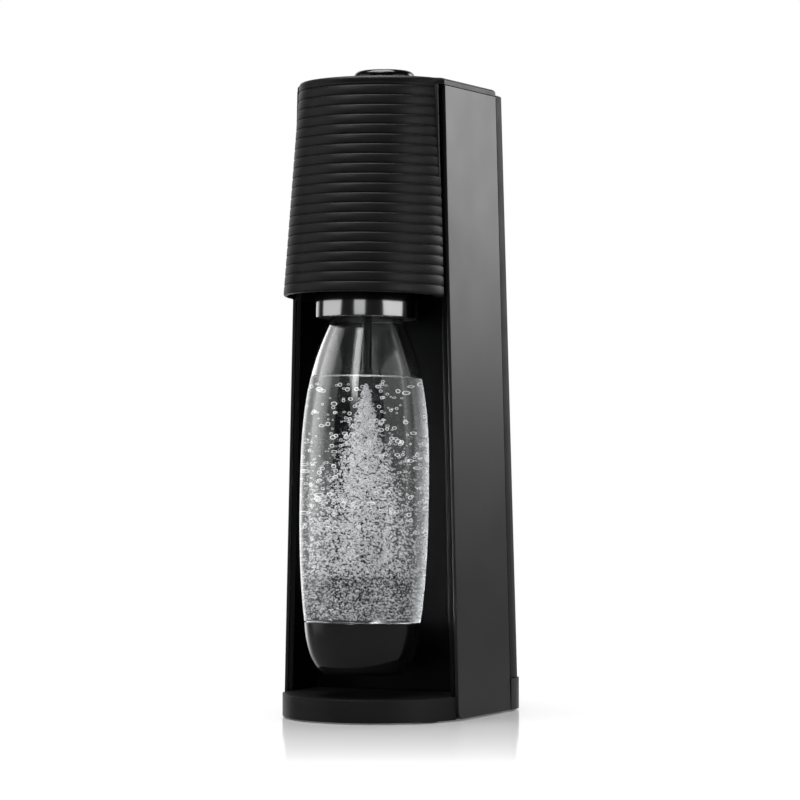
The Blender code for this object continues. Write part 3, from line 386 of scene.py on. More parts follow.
# %% Moulded grain
grain_tree, grain_in, grain_out = effect("moulded_grain", {"Scale": 1800.0, "Drift Scale": 35.0},
                                         ["Height", "Drift", "Speck"])
pits = add(grain_tree, "ShaderNodeTexNoise", {"Vector": grain_in.outputs["Place"],
                                             "Scale": grain_in.outputs["Scale"], "Detail": 3.0})
slow = add(grain_tree, "ShaderNodeTexNoise", {"Vector": grain_in.outputs["Place"],
                                             "Scale": grain_in.outputs["Drift Scale"], "Detail": 4.0,
                                             "Roughness": 0.6})
specks = add(grain_tree, "ShaderNodeTexVoronoi", {"Vector": grain_in.outputs["Place"],
                                                 "Scale": grain_in.outputs["Scale"]})
grain_tree.links.new(pits.outputs["Fac"], grain_out.inputs["Height"])
grain_tree.links.new(ranged(grain_tree, slow.outputs["Fac"], 0.3, 0.7, 0.0, 1.0), grain_out.inputs["Drift"])
grain_tree.links.new(ranged(grain_tree, specks.outputs["Distance"], 0.0, 0.25, 1.0, 0.0),
                     grain_out.inputs["Speck"])

# %% [markdown]
# ### Edge wear
# Corners are handled most, so they polish and pale first. The Bevel node gives the normal of a rounded
# copy of the surface: where it differs from the real normal, an edge is near.

# %% Edge wear
wear_tree, wear_in, wear_out = effect("edge_wear", {"Amount": 0.5, "Scale": 160.0}, ["Wear"])
rounded = add(wear_tree, "ShaderNodeBevel", {"Radius": 0.0007}, samples=4)
facing = add(wear_tree, "ShaderNodeNewGeometry")
alike = add(wear_tree, "ShaderNodeVectorMath", {0: rounded.outputs["Normal"], 1: facing.outputs["Normal"]},
            operation="DOT_PRODUCT")
edge = ranged(wear_tree, alike.outputs["Value"], 0.99, 0.80, 0.0, 1.0)
patches = add(wear_tree, "ShaderNodeTexNoise", {"Vector": wear_in.outputs["Place"],
                                               "Scale": wear_in.outputs["Scale"], "Detail": 5.0})
broken = ranged(wear_tree, patches.outputs["Fac"], 0.35, 0.65, 0.25, 1.0)
worn = combine(wear_tree, "MULTIPLY", edge, broken)
amount = combine(wear_tree, "MULTIPLY", worn, wear_in.outputs["Amount"])
wear_tree.links.new(amount, wear_out.inputs["Wear"])

# %% [markdown]
# ### Brushed lines
# Turned and drawn metal keeps long parallel scratches. Noise squeezed hard along the height makes them,
# and the finish chooses how fine they are.

# %% Brushed lines
brush_tree, brush_in, brush_out = effect("brushed_lines", {"Across": 3000.0, "Along": 60.0},
                                         ["Height", "Lines"])
cut_place = add(brush_tree, "ShaderNodeSeparateXYZ", {0: brush_in.outputs["Place"]})
squeezed = []
for axis, label in (("X", "Along"), ("Y", "Along"), ("Z", "Across")):
    squeezed.append(combine(brush_tree, "MULTIPLY", cut_place.outputs[axis], brush_in.outputs[label]))
stretched = add(brush_tree, "ShaderNodeCombineXYZ", {0: squeezed[0], 1: squeezed[1], 2: squeezed[2]})
scratches = add(brush_tree, "ShaderNodeTexNoise", {"Vector": stretched.outputs[0], "Scale": 1.0,
                                                   "Detail": 4.0})
brush_tree.links.new(scratches.outputs["Fac"], brush_out.inputs["Height"])
brush_tree.links.new(ranged(brush_tree, scratches.outputs["Fac"], 0.3, 0.7, 0.0, 1.0),
                     brush_out.inputs["Lines"])
print([tree.name for tree in bpy.data.node_groups])

# %% [markdown]
# ## Finishes
# One recipe serves every moulded plastic: a base colour that drifts slightly, a roughness that follows the
# drift and the wear, and a grain that tilts the light. Values that are the same all over sit directly on
# the shader's sockets.

# %% Plastic finishes
finishes = {}


def effect_node(tree, name, place, **values):
    made = add(tree, "ShaderNodeGroup", node_tree=bpy.data.node_groups[name])
    tree.links.new(place, made.inputs["Place"])
    for label, value in values.items():
        made.inputs[label.replace("_", " ")].default_value = value
    return made


def two_colours(tree, mask, first, second):
    made = add(tree, "ShaderNodeMix", data_type="RGBA")
    tree.links.new(mask, made.inputs["Factor"])
    for key, value in (("A", first), ("B", second)):
        socket = [s for s in made.inputs if s.name == key and s.type == "RGBA"][0]
        if isinstance(value, bpy.types.NodeSocket):
            tree.links.new(value, socket)
        else:
            socket.default_value = (*value, 1)
    return [s for s in made.outputs if s.type == "RGBA"][0]


def begin(name, **plain):
    """A material with its shader, its own place on the object and its plain values set."""
    made = bpy.data.materials.new(name)
    made.use_nodes = True
    tree = made.node_tree
    shader = tree.nodes["Principled BSDF"]
    for label, value in plain.items():
        shader.inputs[label.replace("_", " ")].default_value = value
    place = add(tree, "ShaderNodeTexCoord").outputs["Object"]
    return made, tree, shader, place


def relief(tree, shader, height, depth):
    """Lets a fine height pattern tilt the light."""
    bump = add(tree, "ShaderNodeBump", {"Height": height, "Strength": 1.0, "Distance": depth})
    tree.links.new(bump.outputs["Normal"], shader.inputs["Normal"])


def plastic(name, colour, roughness, spread, scale, depth, wear=0.4, drift=35.0, **plain):
    made, tree, shader, place = begin(name, **plain)
    grain = effect_node(tree, "moulded_grain", place, Scale=scale, Drift_Scale=drift)
    rubbed = effect_node(tree, "edge_wear", place, Amount=wear)
    paler = tuple(min(1, c * 1.5 + 0.004) for c in colour)
    tone = two_colours(tree, grain.outputs["Drift"], colour, tuple(c * 1.25 for c in colour))
    edge_colour = tuple(c * 1.2 + 0.03 for c in paler)
    tree.links.new(two_colours(tree, rubbed.outputs["Wear"], tone, edge_colour), shader.inputs["Base Color"])
    gloss = ranged(tree, grain.outputs["Drift"], 0, 1, roughness - spread, roughness + spread)
    polish = combine(tree, "MULTIPLY", rubbed.outputs["Wear"], 0.12)
    less = combine(tree, "SUBTRACT", gloss, polish, use_clamp=True)
    tree.links.new(less, shader.inputs["Roughness"])
    relief(tree, shader, grain.outputs["Height"], depth)
    finishes[name] = made


plastic("black_plastic", (0.0055, 0.0055, 0.0060), 0.44, 0.05, 2600, 0.000014, wear=0.05,
        Specular_IOR_Level=0.30)
plastic("dark_panel", (0.012, 0.012, 0.0135), 0.36, 0.03, 5200, 0.000004, wear=0.25, drift=18.0,
        Specular_IOR_Level=0.35)
plastic("gloss_black", (0.003, 0.003, 0.0035), 0.14, 0.03, 900, 0.000002, wear=0.2, drift=50.0)
plastic("collar_plastic", (0.006, 0.006, 0.0065), 0.38, 0.05, 2600, 0.000008, wear=0.3)
plastic("inner_plastic", (0.055, 0.057, 0.060), 0.52, 0.06, 2000, 0.000012, wear=0.3)
plastic("handle_plastic", (0.38, 0.39, 0.41), 0.42, 0.05, 2400, 0.000010, wear=0.4)
plastic("rubber", (0.017, 0.017, 0.017), 0.82, 0.06, 1500, 0.000020, wear=0.1)
# The bay's black is a darker, less glossy copy of the black plastic: painted shade for the recess behind the
# bottle and under the head.
plastic("bay_black", (0.002, 0.002, 0.0023), 0.40, 0.05, 2600, 0.000010, wear=0.05,
        Specular_IOR_Level=0.20)
# The rear cover's black is a darker, less glossy copy of the black plastic: painted shade for the back of the
# object.
plastic("cover_black", (0.0035, 0.0035, 0.0040), 0.50, 0.05, 2600, 0.000014, wear=0.05,
        Specular_IOR_Level=0.12)


# %% [markdown]
# ### Metals
# The band round the bottle holder is polished steel with a faint turned grain. The brass fittings are
# duller, and the cylinder is satin metal under a thin clear coat.

# %% Metal finishes
def metal(name, colour, roughness, spread, across, depth, **plain):
    made, tree, shader, place = begin(name, Metallic=1.0, **plain)
    lines = effect_node(tree, "brushed_lines", place, Across=across)
    rubbed = effect_node(tree, "edge_wear", place, Amount=0.5)
    grain = effect_node(tree, "moulded_grain", place, Scale=700.0, Drift_Scale=60.0)
    tone = two_colours(tree, grain.outputs["Drift"], tuple(c * 0.93 for c in colour), colour)
    tree.links.new(two_colours(tree, rubbed.outputs["Wear"], tone, tuple(min(1, c * 1.2) for c in colour)),
                   shader.inputs["Base Color"])
    gloss = ranged(tree, lines.outputs["Lines"], 0, 1, roughness - spread, roughness + spread)
    tree.links.new(gloss, shader.inputs["Roughness"])
    relief(tree, shader, lines.outputs["Height"], depth)
    finishes[name] = made


metal("trim_steel", (0.76, 0.76, 0.77), 0.13, 0.03, 5000, 0.0000015)
metal("fastener_steel", (0.50, 0.50, 0.51), 0.32, 0.08, 2500, 0.000004)
metal("brass", (0.66, 0.47, 0.20), 0.34, 0.08, 2600, 0.000005)
metal("cylinder_metal", (0.40, 0.42, 0.44), 0.38, 0.06, 1200, 0.000004, Coat_Weight=0.3)


# %% [markdown]
# ### Clear plastic, water and gas
# The bottle is clear moulded plastic and the water fills it. Light that falls on the bubbles has to pass
# both, so the glass lets shadow rays straight through. Gas in water shows as a bright ring round a dark
# middle, because the rim of a bubble mirrors the light. Here that ring is painted: Layer Weight, kept in the
# material, makes a white skin opaque towards each bubble's rim and clear in its middle, a painted
# reflection that the lamps light, and a small emission adds a painted glow.

# %% Clear finishes
def see_through(name, colour, ior, roughness, ripple_scale, ripple_depth, passed):
    made, tree, shader, place = begin(name, IOR=ior, Roughness=roughness)
    shader.inputs["Base Color"].default_value = (*colour, 1)
    shader.inputs["Transmission Weight"].default_value = 1.0
    ripple = effect_node(tree, "moulded_grain", place, Scale=ripple_scale, Drift_Scale=ripple_scale * 0.3)
    relief(tree, shader, ripple.outputs["Drift"], ripple_depth)
    clear = add(tree, "ShaderNodeBsdfTransparent")
    clear.inputs["Color"].default_value = (*passed, 1)
    path = add(tree, "ShaderNodeLightPath")
    chosen = add(tree, "ShaderNodeMixShader", {0: path.outputs["Is Shadow Ray"], 1: shader.outputs[0],
                                               2: clear.outputs[0]})
    tree.links.new(chosen.outputs[0], tree.nodes["Material Output"].inputs["Surface"])
    finishes[name] = made


see_through("clear_bottle", (0.97, 0.98, 0.98), 1.42, 0.02, 60.0, 0.00003, (0.93, 0.93, 0.93))
see_through("still_water", (0.98, 0.99, 0.99), 1.28, 0.0, 90.0, 0.00002, (0.97, 0.97, 0.97))


def bubble_finish(name, colour, clear_middle, roughness, painted_glow):
    """Gas in water: a white skin, opaque at the rim as a painted reflection and see-through in the middle,
    with a painted glow for the light scattered round it.
    """
    made, tree, shader, place = begin(name, Roughness=roughness, IOR=1.4, Emission_Strength=painted_glow)
    shader.inputs["Emission Color"].default_value = (*colour, 1)
    grain = effect_node(tree, "moulded_grain", place, Scale=900.0, Drift_Scale=140.0)
    tree.links.new(two_colours(tree, grain.outputs["Drift"], tuple(c * 0.82 for c in colour), colour),
                   shader.inputs["Base Color"])
    # Layer Weight makes the white skin opaque towards the rim: a painted reflection of the light a bubble's
    # rim mirrors.
    rim = add(tree, "ShaderNodeLayerWeight", {"Blend": 0.45})
    tree.links.new(ranged(tree, rim.outputs["Facing"], 0.15, 0.75, clear_middle, 1.0), shader.inputs["Alpha"])
    finishes[name] = made


# Each skin's emission strength is a painted glow, not light that reaches the bubbles.
bubble_finish("large_bubble_skin", (0.95, 0.96, 0.97), 0.02, 0.05, 0.40)
bubble_finish("fizz_skin", (0.84, 0.85, 0.86), 0.12, 0.25, 0.12)
bubble_finish("jet_skin", (0.86, 0.86, 0.87), 0.25, 0.35, 0.11)
print(sorted(finishes))

# %% [markdown]
# ## Finishes on the carried-over nodes
# Most of the hidden works are right as they stand. Each gets the finish of its own slot, so nothing plain
# shows when the rear cover swings open or the head is seen from below.

# %% Dress the frame's nodes
for row in frame["record"]["subparts"]:
    node = frame["nodes"][row["node"]]
    node.data.materials.clear()
    node.data.materials.append(finishes[row["material_slot"]])
print(len(frame["nodes"]), "nodes dressed")

# %% [markdown]
# ## Head
# The head is a tapered shell with twenty-one fine ribs, wide at its rim and narrow at the lid. A circle is
# squeezed to the rim's ellipse and extruded upwards ring by ring. Each rib is a flat face whose upper edge
# rounds over into a shallow groove, and whose lower edge is nearly sharp.

# %% Extrude the ribbed shell
RIBS = 21
RIB_DEPTH = 0.0006
TOP_GROOVE = 0.0020
LAST_GROOVE = 0.0068
GROOVE_HEIGHT = 0.0005
SHELL_WALL = 0.0022
SHELL_SETBACK = 0.0024
RIM_REACH, TOP_REACH, TOP_CENTRE = 0.0570, 0.0460, 0.0120


def head_ellipse(z, inset):
    """Half width, reach and centre of the head's outline at a height."""
    share = (z - RIM_Z) / HEAD_HEIGHT
    half = panel_half(z) - SHELL_SETBACK
    return half - inset, RIM_REACH + (TOP_REACH - RIM_REACH) * share - inset, HEAD_BACK + TOP_CENTRE * share


def grow(levels):
    """Extrudes the selected ring through (height, inset) levels of the head."""
    z, inset = levels[0]
    for new_z, new_inset in levels[1:]:
        half, reach, centre = head_ellipse(z, inset)
        new_half, new_reach, new_centre = head_ellipse(new_z, new_inset)
        lift((0, new_centre - centre, new_z - z))
        resize((new_half / half, new_reach / reach, 1), (0, new_centre, new_z))
        z, inset = new_z, new_inset


top_z = LID_Z - GAP
pitch = (HEAD_HEIGHT - TOP_GROOVE - LAST_GROOVE) / (RIBS - 1)
shell_levels = [(RIM_Z, 0.0013), (RIM_Z + 0.0003, 0.0006), (RIM_Z + 0.0008, 0.0002), (RIM_Z + 0.0016, 0.0)]
for rib in range(RIBS):
    groove = RIM_Z + LAST_GROOVE + rib * pitch
    shell_levels += [(groove - 0.0010, 0.0), (groove - 0.0006, 0.0001), (groove - 0.0003, 0.00025),
                     (groove - 0.0001, 0.00045), (groove, RIB_DEPTH), (groove + GROOVE_HEIGHT, RIB_DEPTH),
                     (groove + GROOVE_HEIGHT + 0.0001, 0.0001), (groove + GROOVE_HEIGHT + 0.0003, 0.0)]
shell_levels += [(top_z, 0.0), (top_z, SHELL_WALL), (RIM_Z + 0.004, SHELL_WALL), (RIM_Z, SHELL_WALL)]

half, reach, centre = head_ellipse(*shell_levels[0])
clear_selection()
bpy.ops.mesh.primitive_circle_add(vertices=160, radius=1, location=(0, 0, 0))
head_shell = newest("head_shell")
open_mesh(head_shell)
select_whole()
resize((half, reach, 1), (0, 0, 0))
move((0, centre, RIM_Z))
grow(shell_levels)
print(pick("edges", lambda e: e.is_boundary), "open edges bridged")
bpy.ops.mesh.bridge_edge_loops()
select_whole()
bpy.ops.mesh.bisect(plane_co=(0, HEAD_BACK, 0), plane_no=(0, 1, 0), use_fill=True, clear_outer=True)
face_outwards()
close_mesh()

# %% [markdown]
# The rim rises a little towards the front, and so do the lower ribs. A lattice does that without touching
# any ring by hand: its eight corners hold the shell, and its lower front ones are lifted.

# %% Lift the front of the rim
RIM_SLOPE = 0.07
clear_selection()
cage_front = HEAD_BACK - RIM_REACH
bpy.ops.object.add(type="LATTICE", location=(0, (cage_front + HEAD_BACK) / 2, (RIM_Z + LID_Z) / 2))
cage = bpy.context.object
cage.scale = (0.14, RIM_REACH, HEAD_HEIGHT)
for point in cage.data.points:
    if point.co.y < 0 and point.co.z < 0:
        point.co_deform.z += RIM_SLOPE * RIM_REACH / HEAD_HEIGHT
bpy.context.view_layer.update()
apply_modifier(head_shell, "LATTICE", object=cage)
bpy.data.objects.remove(cage)

# %% [markdown]
# Behind the shell's ends, a tongue on each side runs back between the column's walls and closes the groove.
# Each starts as a cube, gets its long leg by extruding one face, and leans with the taper.

# %% Add the tongues
TONGUE_LENGTH, TONGUE_WIDTH, TONGUE_THICK = 0.027, 0.0064, 0.0022
TONGUE_SETBACK = 0.0066
LEG_INSET = 0.0006
tongues = []
for side in (-1, 1):
    outer = panel_half(RIM_Z) - TONGUE_SETBACK
    clear_selection()
    bpy.ops.mesh.primitive_cube_add(size=1, location=(side * (outer + 0.0004), HEAD_BACK - 0.0011,
                                                      (RIM_Z + top_z) / 2),
                                    scale=(TONGUE_WIDTH, TONGUE_THICK, top_z - RIM_Z))
    tongue = newest(f"tongue_{side}")
    open_mesh(tongue)
    select_whole()
    bpy.ops.mesh.bisect(plane_co=(side * (outer - LEG_INSET), 0, 0), plane_no=(1, 0, 0))
    pick("faces", lambda f: f.normal.y > 0.9 and abs(f.calc_center_median().x) < outer - LEG_INSET)
    bpy.ops.mesh.extrude_region_move(TRANSFORM_OT_translate={"value": (0, TONGUE_LENGTH, 0)})
    pick("verts", lambda v: v.co.z > LID_Z - 0.01)
    move((side * (panel_half(top_z) - panel_half(RIM_Z)), 0, 0))
    close_mesh()
    soften(tongue, 0.0003, 2)
    tongues.append(tongue)
alone(head_shell)
for tongue in tongues:
    tongue.select_set(True)
bpy.ops.object.join()
settle(head_shell, "housing", "black_plastic", "head_cover", angle=40)

# %% [markdown]
# ## Lid
# The lid is a thin cap that covers the head and the column in one sweep. Half an ellipse is cut from a
# filled circle. Its straight edge is drawn back, first out to the panels and then to the rear, and the flat
# sheet is raised to its thickness and rounded along its upper edge.

# %% Draw the lid
CLOSE = 1e-5
LID_ROUND = 0.0026
half, reach, centre = head_ellipse(LID_Z, 0)
clear_selection()
bpy.ops.mesh.primitive_circle_add(vertices=160, radius=1, fill_type="NGON", location=(0, 0, 0))
lid = newest("lid")
open_mesh(lid)
select_whole()
resize((half, reach, 1), (0, 0, 0))
move((0, centre, LID_Z))
bpy.ops.mesh.bisect(plane_co=(0, HEAD_BACK, 0), plane_no=(0, 1, 0), clear_outer=True)
pick("edges", lambda e: abs(middle(e).y - HEAD_BACK) < CLOSE and e.calc_length() > 0.05)
lift((0, GROOVE, 0))
side = lid_high.x
cut_half = max(abs(v.co.x) for v in bmesh.from_edit_mesh(lid.data).verts if v.select)
resize((side / cut_half, 1, 1), (0, 0, 0))
lift((0, lid_high.y - panel_low.y, 0))
face_outwards()
bpy.ops.mesh.extrude_region_move(TRANSFORM_OT_translate={"value": (0, 0, lid_high.z - lid_low.z)})
face_outwards()
pick("edges", lambda e: middle(e).z > lid_high.z - CLOSE and len(e.link_faces) == 2
     and e.calc_face_angle() > 1)
bpy.ops.mesh.bevel(offset=LID_ROUND, segments=5, affect="EDGES")
close_mesh()

# %% [markdown]
# The button's hole is cut last, with a cylinder as a drill.

# %% Drill the lid
button_middle = (button_low + button_high) / 2
BORE_PLAY = 0.0006
bore = (button_high.x - button_low.x) / 2 + BORE_PLAY
clear_selection()
bpy.ops.mesh.primitive_cylinder_add(vertices=128, radius=bore, depth=0.03,
                                    location=(0, button_middle.y, LID_Z))
drill = newest("drill")
apply_modifier(lid, "BOOLEAN", object=drill, operation="DIFFERENCE", solver="EXACT")
bpy.data.objects.remove(drill)
settle(lid, "housing", "black_plastic", "top_cap", flat=True)


# %% [markdown]
# ## Turned pieces
# The button, bottle, cup, holder and nozzle are all round. A profile of radius and height points is turned
# by extruding one circle again and again, which is how such a shape grows in edit mode. Where the profile
# meets the axis, the last ring is merged to one point.

# %% A tool for round pieces
def turned(name, profile, sides=96, centre=(0, 0, 0), ring=False):
    """Extrudes a circle through (radius, height) points. A radius of 0 is a pole; ring joins both ends."""
    x, y, z = centre
    points = [p for p in profile if p[0] > 0]
    clear_selection()
    bpy.ops.mesh.primitive_circle_add(vertices=sides, radius=points[0][0], location=(x, y, z + points[0][1]))
    piece = newest(name)
    open_mesh(piece)
    select_whole()
    for (r0, h0), (r1, h1) in zip(points, points[1:]):
        lift((0, 0, h1 - h0))
        if r1 != r0:
            resize((r1 / r0, r1 / r0, 1), (x, y, z + h1))
    if profile[-1][0] == 0:
        lift((0, 0, profile[-1][1] - points[-1][1]))
        bpy.ops.mesh.merge(type="CENTER")
    if profile[0][0] == 0:
        pick("edges", lambda e: e.is_boundary)
        lift((0, 0, profile[0][1] - points[0][1]))
        bpy.ops.mesh.merge(type="CENTER")
    if ring:
        pick("edges", lambda e: e.is_boundary)
        bpy.ops.mesh.bridge_edge_loops()
    face_outwards()
    close_mesh()
    return piece


def hang(piece):
    """Leans an upright piece forward about the holder's pivot."""
    open_mesh(piece)
    select_whole()
    bpy.ops.transform.rotate(value=LEAN, orient_axis="X", center_override=PIVOT)
    close_mesh()


# %% [markdown]
# ## Button
# A large glossy disc with a soft dome and a rounded shoulder. Its skirt hides the spring.

# %% Turn the button
radius = (button_high.x - button_low.x) / 2
top = button_high.z
skirt = button_low.z
dome = 0.0042
dome_share = 0.30
crown = 0.80
shoulder_fall = 0.0045
skirt_edge, skirt_wall = 0.0004, 0.0022
button_profile = [(0, top)]
button_profile += [(radius * s, top - dome * dome_share * (s / crown) ** 2.2)
                   for s in (0.15, 0.3, 0.45, 0.6, 0.7, crown)]
corner = top - dome * dome_share
for step in range(1, 9):
    a = pi / 2 * step / 8
    button_profile.append((radius * (crown + (1 - crown) * sin(a)), corner - shoulder_fall * (1 - cos(a))))
roof = top - dome - skirt_wall
button_profile += [(radius, skirt + skirt_edge), (radius - skirt_edge, skirt), (radius - 0.0018, skirt),
                   (radius - skirt_wall, skirt + skirt_edge), (radius - skirt_wall, roof), (0, roof)]
button = turned("carbonating_button_cap", button_profile, 128, (0, button_middle.y, 0))
settle(button, "button", "gloss_black", "carbonating_button")

# %% [markdown]
# The spring under the button can't follow it rigidly: it closes up. It starts as a small circle that is
# spun upwards round the button's axis, and it stays with the housing.

# %% Coil the spring
spring_low, spring_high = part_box("button_spring")
wire = 0.0007
coil = (spring_high.x - spring_low.x) / 2 - wire
clear_selection()
bpy.ops.mesh.primitive_circle_add(vertices=10, radius=wire, rotation=(pi / 2, 0, 0),
                                  location=(coil, button_middle.y, spring_low.z + wire))
spring = newest("button_return_spring")
open_mesh(spring)
select_whole()
turns = 5
steps_a_turn = 28
flat_turn = 0.6
rise = spring_high.z - spring_low.z - 2 * wire
bpy.ops.mesh.spin(steps=turns * steps_a_turn, angle=2 * pi * turns, center=(0, button_middle.y, 0),
                  axis=(0, 0, 1))
close_mesh()
for index, vertex in enumerate(spring.data.vertices):
    share = index / len(spring.data.vertices)
    vertex.co.z += rise * min(max((share * turns - flat_turn) / (turns - 2 * flat_turn), 0), 1)
open_mesh(spring)
pick("edges", lambda e: e.is_boundary)
bpy.ops.mesh.edge_face_add()
face_outwards()
close_mesh()
settle(spring, "housing", "fastener_steel", "button_spring", angle=60)
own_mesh(spring)

# %% [markdown]
# ## Side panels
# Each side is a flat satin panel, 2.5 mm thick, with its own machined edge and rounded lower front corner.
# A cube is scaled to the panel, sheared to the taper by moving its top, and its edges are rounded.

# %% Cut the side panels
PANEL_THICK = 0.0025
PANEL_SETBACK = 0.0027
PANEL_CORNER = 0.006
ABOVE_FOOT = 0.2
for side, label in ((1, "right"), (-1, "left")):
    node = f"side_panel_{label}"
    low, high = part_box(node)
    outer_low, outer_top = side * panel_half(low.z), side * panel_half(high.z)
    panel_x = outer_low - side * PANEL_THICK / 2
    clear_selection()
    bpy.ops.mesh.primitive_cube_add(size=1, location=(panel_x, (low.y + high.y) / 2, (low.z + high.z) / 2),
                                    scale=(PANEL_THICK, high.y - low.y, high.z - low.z))
    plate = newest(f"side_plate_{label}")
    open_mesh(plate)
    pick("verts", lambda v: v.co.z > ABOVE_FOOT)
    move((outer_top - outer_low, 0, 0))
    pick("verts", lambda v: v.co.z > ABOVE_FOOT and v.co.y > 0)
    move((0, -PANEL_SETBACK, 0))
    pick("edges", lambda e: middle(e).z < 0.01 and middle(e).y < low.y + 0.001
         and abs(middle(e).x - panel_x) < 1e-4)
    bpy.ops.mesh.bevel(offset=PANEL_CORNER, segments=8, affect="EDGES")
    close_mesh()
    soften(plate, 0.0006, 3)
    settle(plate, "housing", "dark_panel", node, flat=True)

# %% [markdown]
# ## Column, base and rear cover
# These are right in the frame but their edges are sharp. A copy of each mesh is welded, its flat triangles
# are dissolved into whole faces, and its edges are rounded. A real moulding always has a small radius.


# %% Round the frame's own shapes
def rounded_copy(node, name, body, slot, width, segments=3, finish=None):
    """A welded copy of a node with rounded edges, which stands for it."""
    clear_selection()
    copy = frame["nodes"][node].copy()
    copy.data = frame["nodes"][node].data.copy()
    copy.name = name
    for key in list(copy.keys()):
        del copy[key]
    copy.parent = None
    bpy.context.scene.collection.objects.link(copy)
    open_mesh(copy)
    select_whole()
    bpy.ops.mesh.remove_doubles(threshold=0.00001)
    bpy.ops.mesh.dissolve_limited(angle_limit=radians(0.5))
    close_mesh()
    apply_modifier(copy, "BEVEL", width=width, segments=segments, limit_method="ANGLE",
                   angle_limit=radians(35), use_clamp_overlap=True, harden_normals=False)
    settle(copy, body, slot, node, angle=30, flat=True)
    if finish:
        copy.data.materials[0] = finishes[finish]
    return copy


base = rounded_copy("base_shell", "base_moulding", "housing", "black_plastic", 0.0010)
# The column and the head's underside take the bay's darker black, which is painted shade.
for row in (("column_frame", "column_moulding", "housing", "black_plastic", 0.0005, 2, "bay_black"),
            # The rear cover takes its darker black, which is painted shade.
            ("rear_cover", "rear_cover_moulding", "back", "black_plastic", 0.0007, 3, "cover_black"),
            ("head_underside", "head_floor", "housing", "black_plastic", 0.0004, 2, "bay_black"),
            ("valve_yoke", "valve_yoke_moulding", "housing", "inner_plastic", 0.0005, 2),
            ("holder_chassis", "holder_chassis_moulding", "housing", "inner_plastic", 0.0004, 2),
            ("quick_connect_handle", "quick_connect_bar", "quick_connect", "handle_plastic", 0.0009),
            ("valve_lever", "valve_lever_moulding", "lever", "inner_plastic", 0.0008),
            ("cover_latch", "cover_latch_key", "latch", "gloss_black", 0.0006),
            ("manifold_block", "manifold_brass", "housing", "brass", 0.0006)):
    rounded_copy(*row)

# %% [markdown]
# ## Gas cylinder
# A drawn steel cylinder with a round shoulder, a short neck and a brass valve. Turning gives the smooth
# shoulder that its facets lacked.

# %% Turn the gas cylinder
tank_low, tank_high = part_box("co2_cylinder")
tank_y = (tank_low.y + tank_high.y) / 2
tank_r = (tank_high.x - tank_low.x) / 2
neck_r = 0.013
crown = tank_high.z - 0.009
shoulder = tank_high.z - 0.037
foot_round = 0.0035
tank_profile = [(0, tank_low.z + 0.004), (tank_r * 0.55, tank_low.z + 0.0030),
                (tank_r * 0.80, tank_low.z + 0.0005), (tank_r - 0.0038, tank_low.z)]
tank_profile += [(tank_r - foot_round * (1 - sin(a)), tank_low.z + foot_round * (1 - cos(a)))
                 for a in (pi / 2 * i / 5 for i in range(1, 6))]
tank_profile += [(tank_r - (tank_r - neck_r) * (1 - cos(a)), shoulder + (crown - shoulder) * sin(a))
                 for a in (pi / 2 * i / 14 for i in range(15))]
tank_profile += [(neck_r, tank_high.z - 0.0005), (neck_r - 0.0005, tank_high.z), (0.0095, tank_high.z),
                 (0.0095, crown - 0.002), (tank_r - 0.0035, shoulder), (tank_r - 0.0035, tank_low.z + 0.009),
                 (0, tank_low.z + 0.009)]
tank = turned("gas_cylinder_shell", tank_profile, 96, (0, tank_y, 0))
settle(tank, "gas_cylinder", "cylinder_metal", "co2_cylinder")

# %% [markdown]
# ## Bottle
# The bottle swells to its widest a little below half height and closes in towards the holder. Its wall is
# one turned skin, outside and inside, so that light bends twice as it does in real clear plastic. Heights
# are counted from the foot, along the bottle's own axis.

# %% Turn the bottle
LENGTH, BELLY, WALL = 0.262, 0.0433, 0.0015
NECK_R, NECK_BORE, NECK_LENGTH = 0.0135, 0.0108, 0.0115
CUP_HEIGHT = 0.0345
SHOULDER_TOP = LENGTH - NECK_LENGTH - 0.0125
WIDEST = LENGTH * 0.446
PIVOT_DROP = LENGTH + 0.013


def bottle_r(h):
    if h >= WIDEST:
        return BELLY * (1 - 0.446 * ((h - WIDEST) / (SHOULDER_TOP - WIDEST)) ** 3)
    return BELLY * (1 - 0.100 * ((WIDEST - max(h, CUP_HEIGHT)) / (WIDEST - CUP_HEIGHT)) ** 2.4)


def shoulder_curve(offset, count=10):
    """From the shoulder into the neck, as an S-shaped curve."""
    wide = bottle_r(SHOULDER_TOP)
    found = []
    for step in range(1, count + 1):
        s = step / count
        share = 0.5 + 0.5 * cos(pi * s ** 0.85)
        found.append((NECK_R + (wide - NECK_R) * share - offset, SHOULDER_TOP + 0.0125 * s))
    return found


def hung(name, profile, sides, body, slot, *nodes, angle=35, ring=False):
    """Turns a profile whose heights count from the foot, leans it and finishes it."""
    piece = turned(name, [(r, h - PIVOT_DROP) for r, h in profile], sides, PIVOT, ring=ring)
    hang(piece)
    settle(piece, body, slot, *nodes, angle=angle)
    return piece


cup_rim = bottle_r(CUP_HEIGHT)
foot_points = [(0.665, 0.0), (0.72, 0.06), (0.79, 0.20), (0.858, 0.35), (0.933, 0.65), (1.0, 1.0)]
foot_skin = 0.0023
foot_curve = [(cup_rim * r - foot_skin, CUP_HEIGHT * h) for r, h in foot_points[2:-1]]
foot_curve.append((cup_rim - foot_skin, CUP_HEIGHT + GAP))
body_heights = [CUP_HEIGHT + 0.0006 + (SHOULDER_TOP - CUP_HEIGHT - 0.0006) * i / 44 for i in range(45)]
outside = [(0, 0.0038), (foot_curve[0][0] - 0.004, 0.0038), *foot_curve]
outside += [(bottle_r(h), h) for h in body_heights] + shoulder_curve(0)
outside += [(NECK_R, LENGTH - 0.0004), (NECK_R - 0.0004, LENGTH)]
inside = [(NECK_BORE + 0.0004, LENGTH), (NECK_BORE, LENGTH - 0.0004), (NECK_BORE, SHOULDER_TOP + 0.0155)]
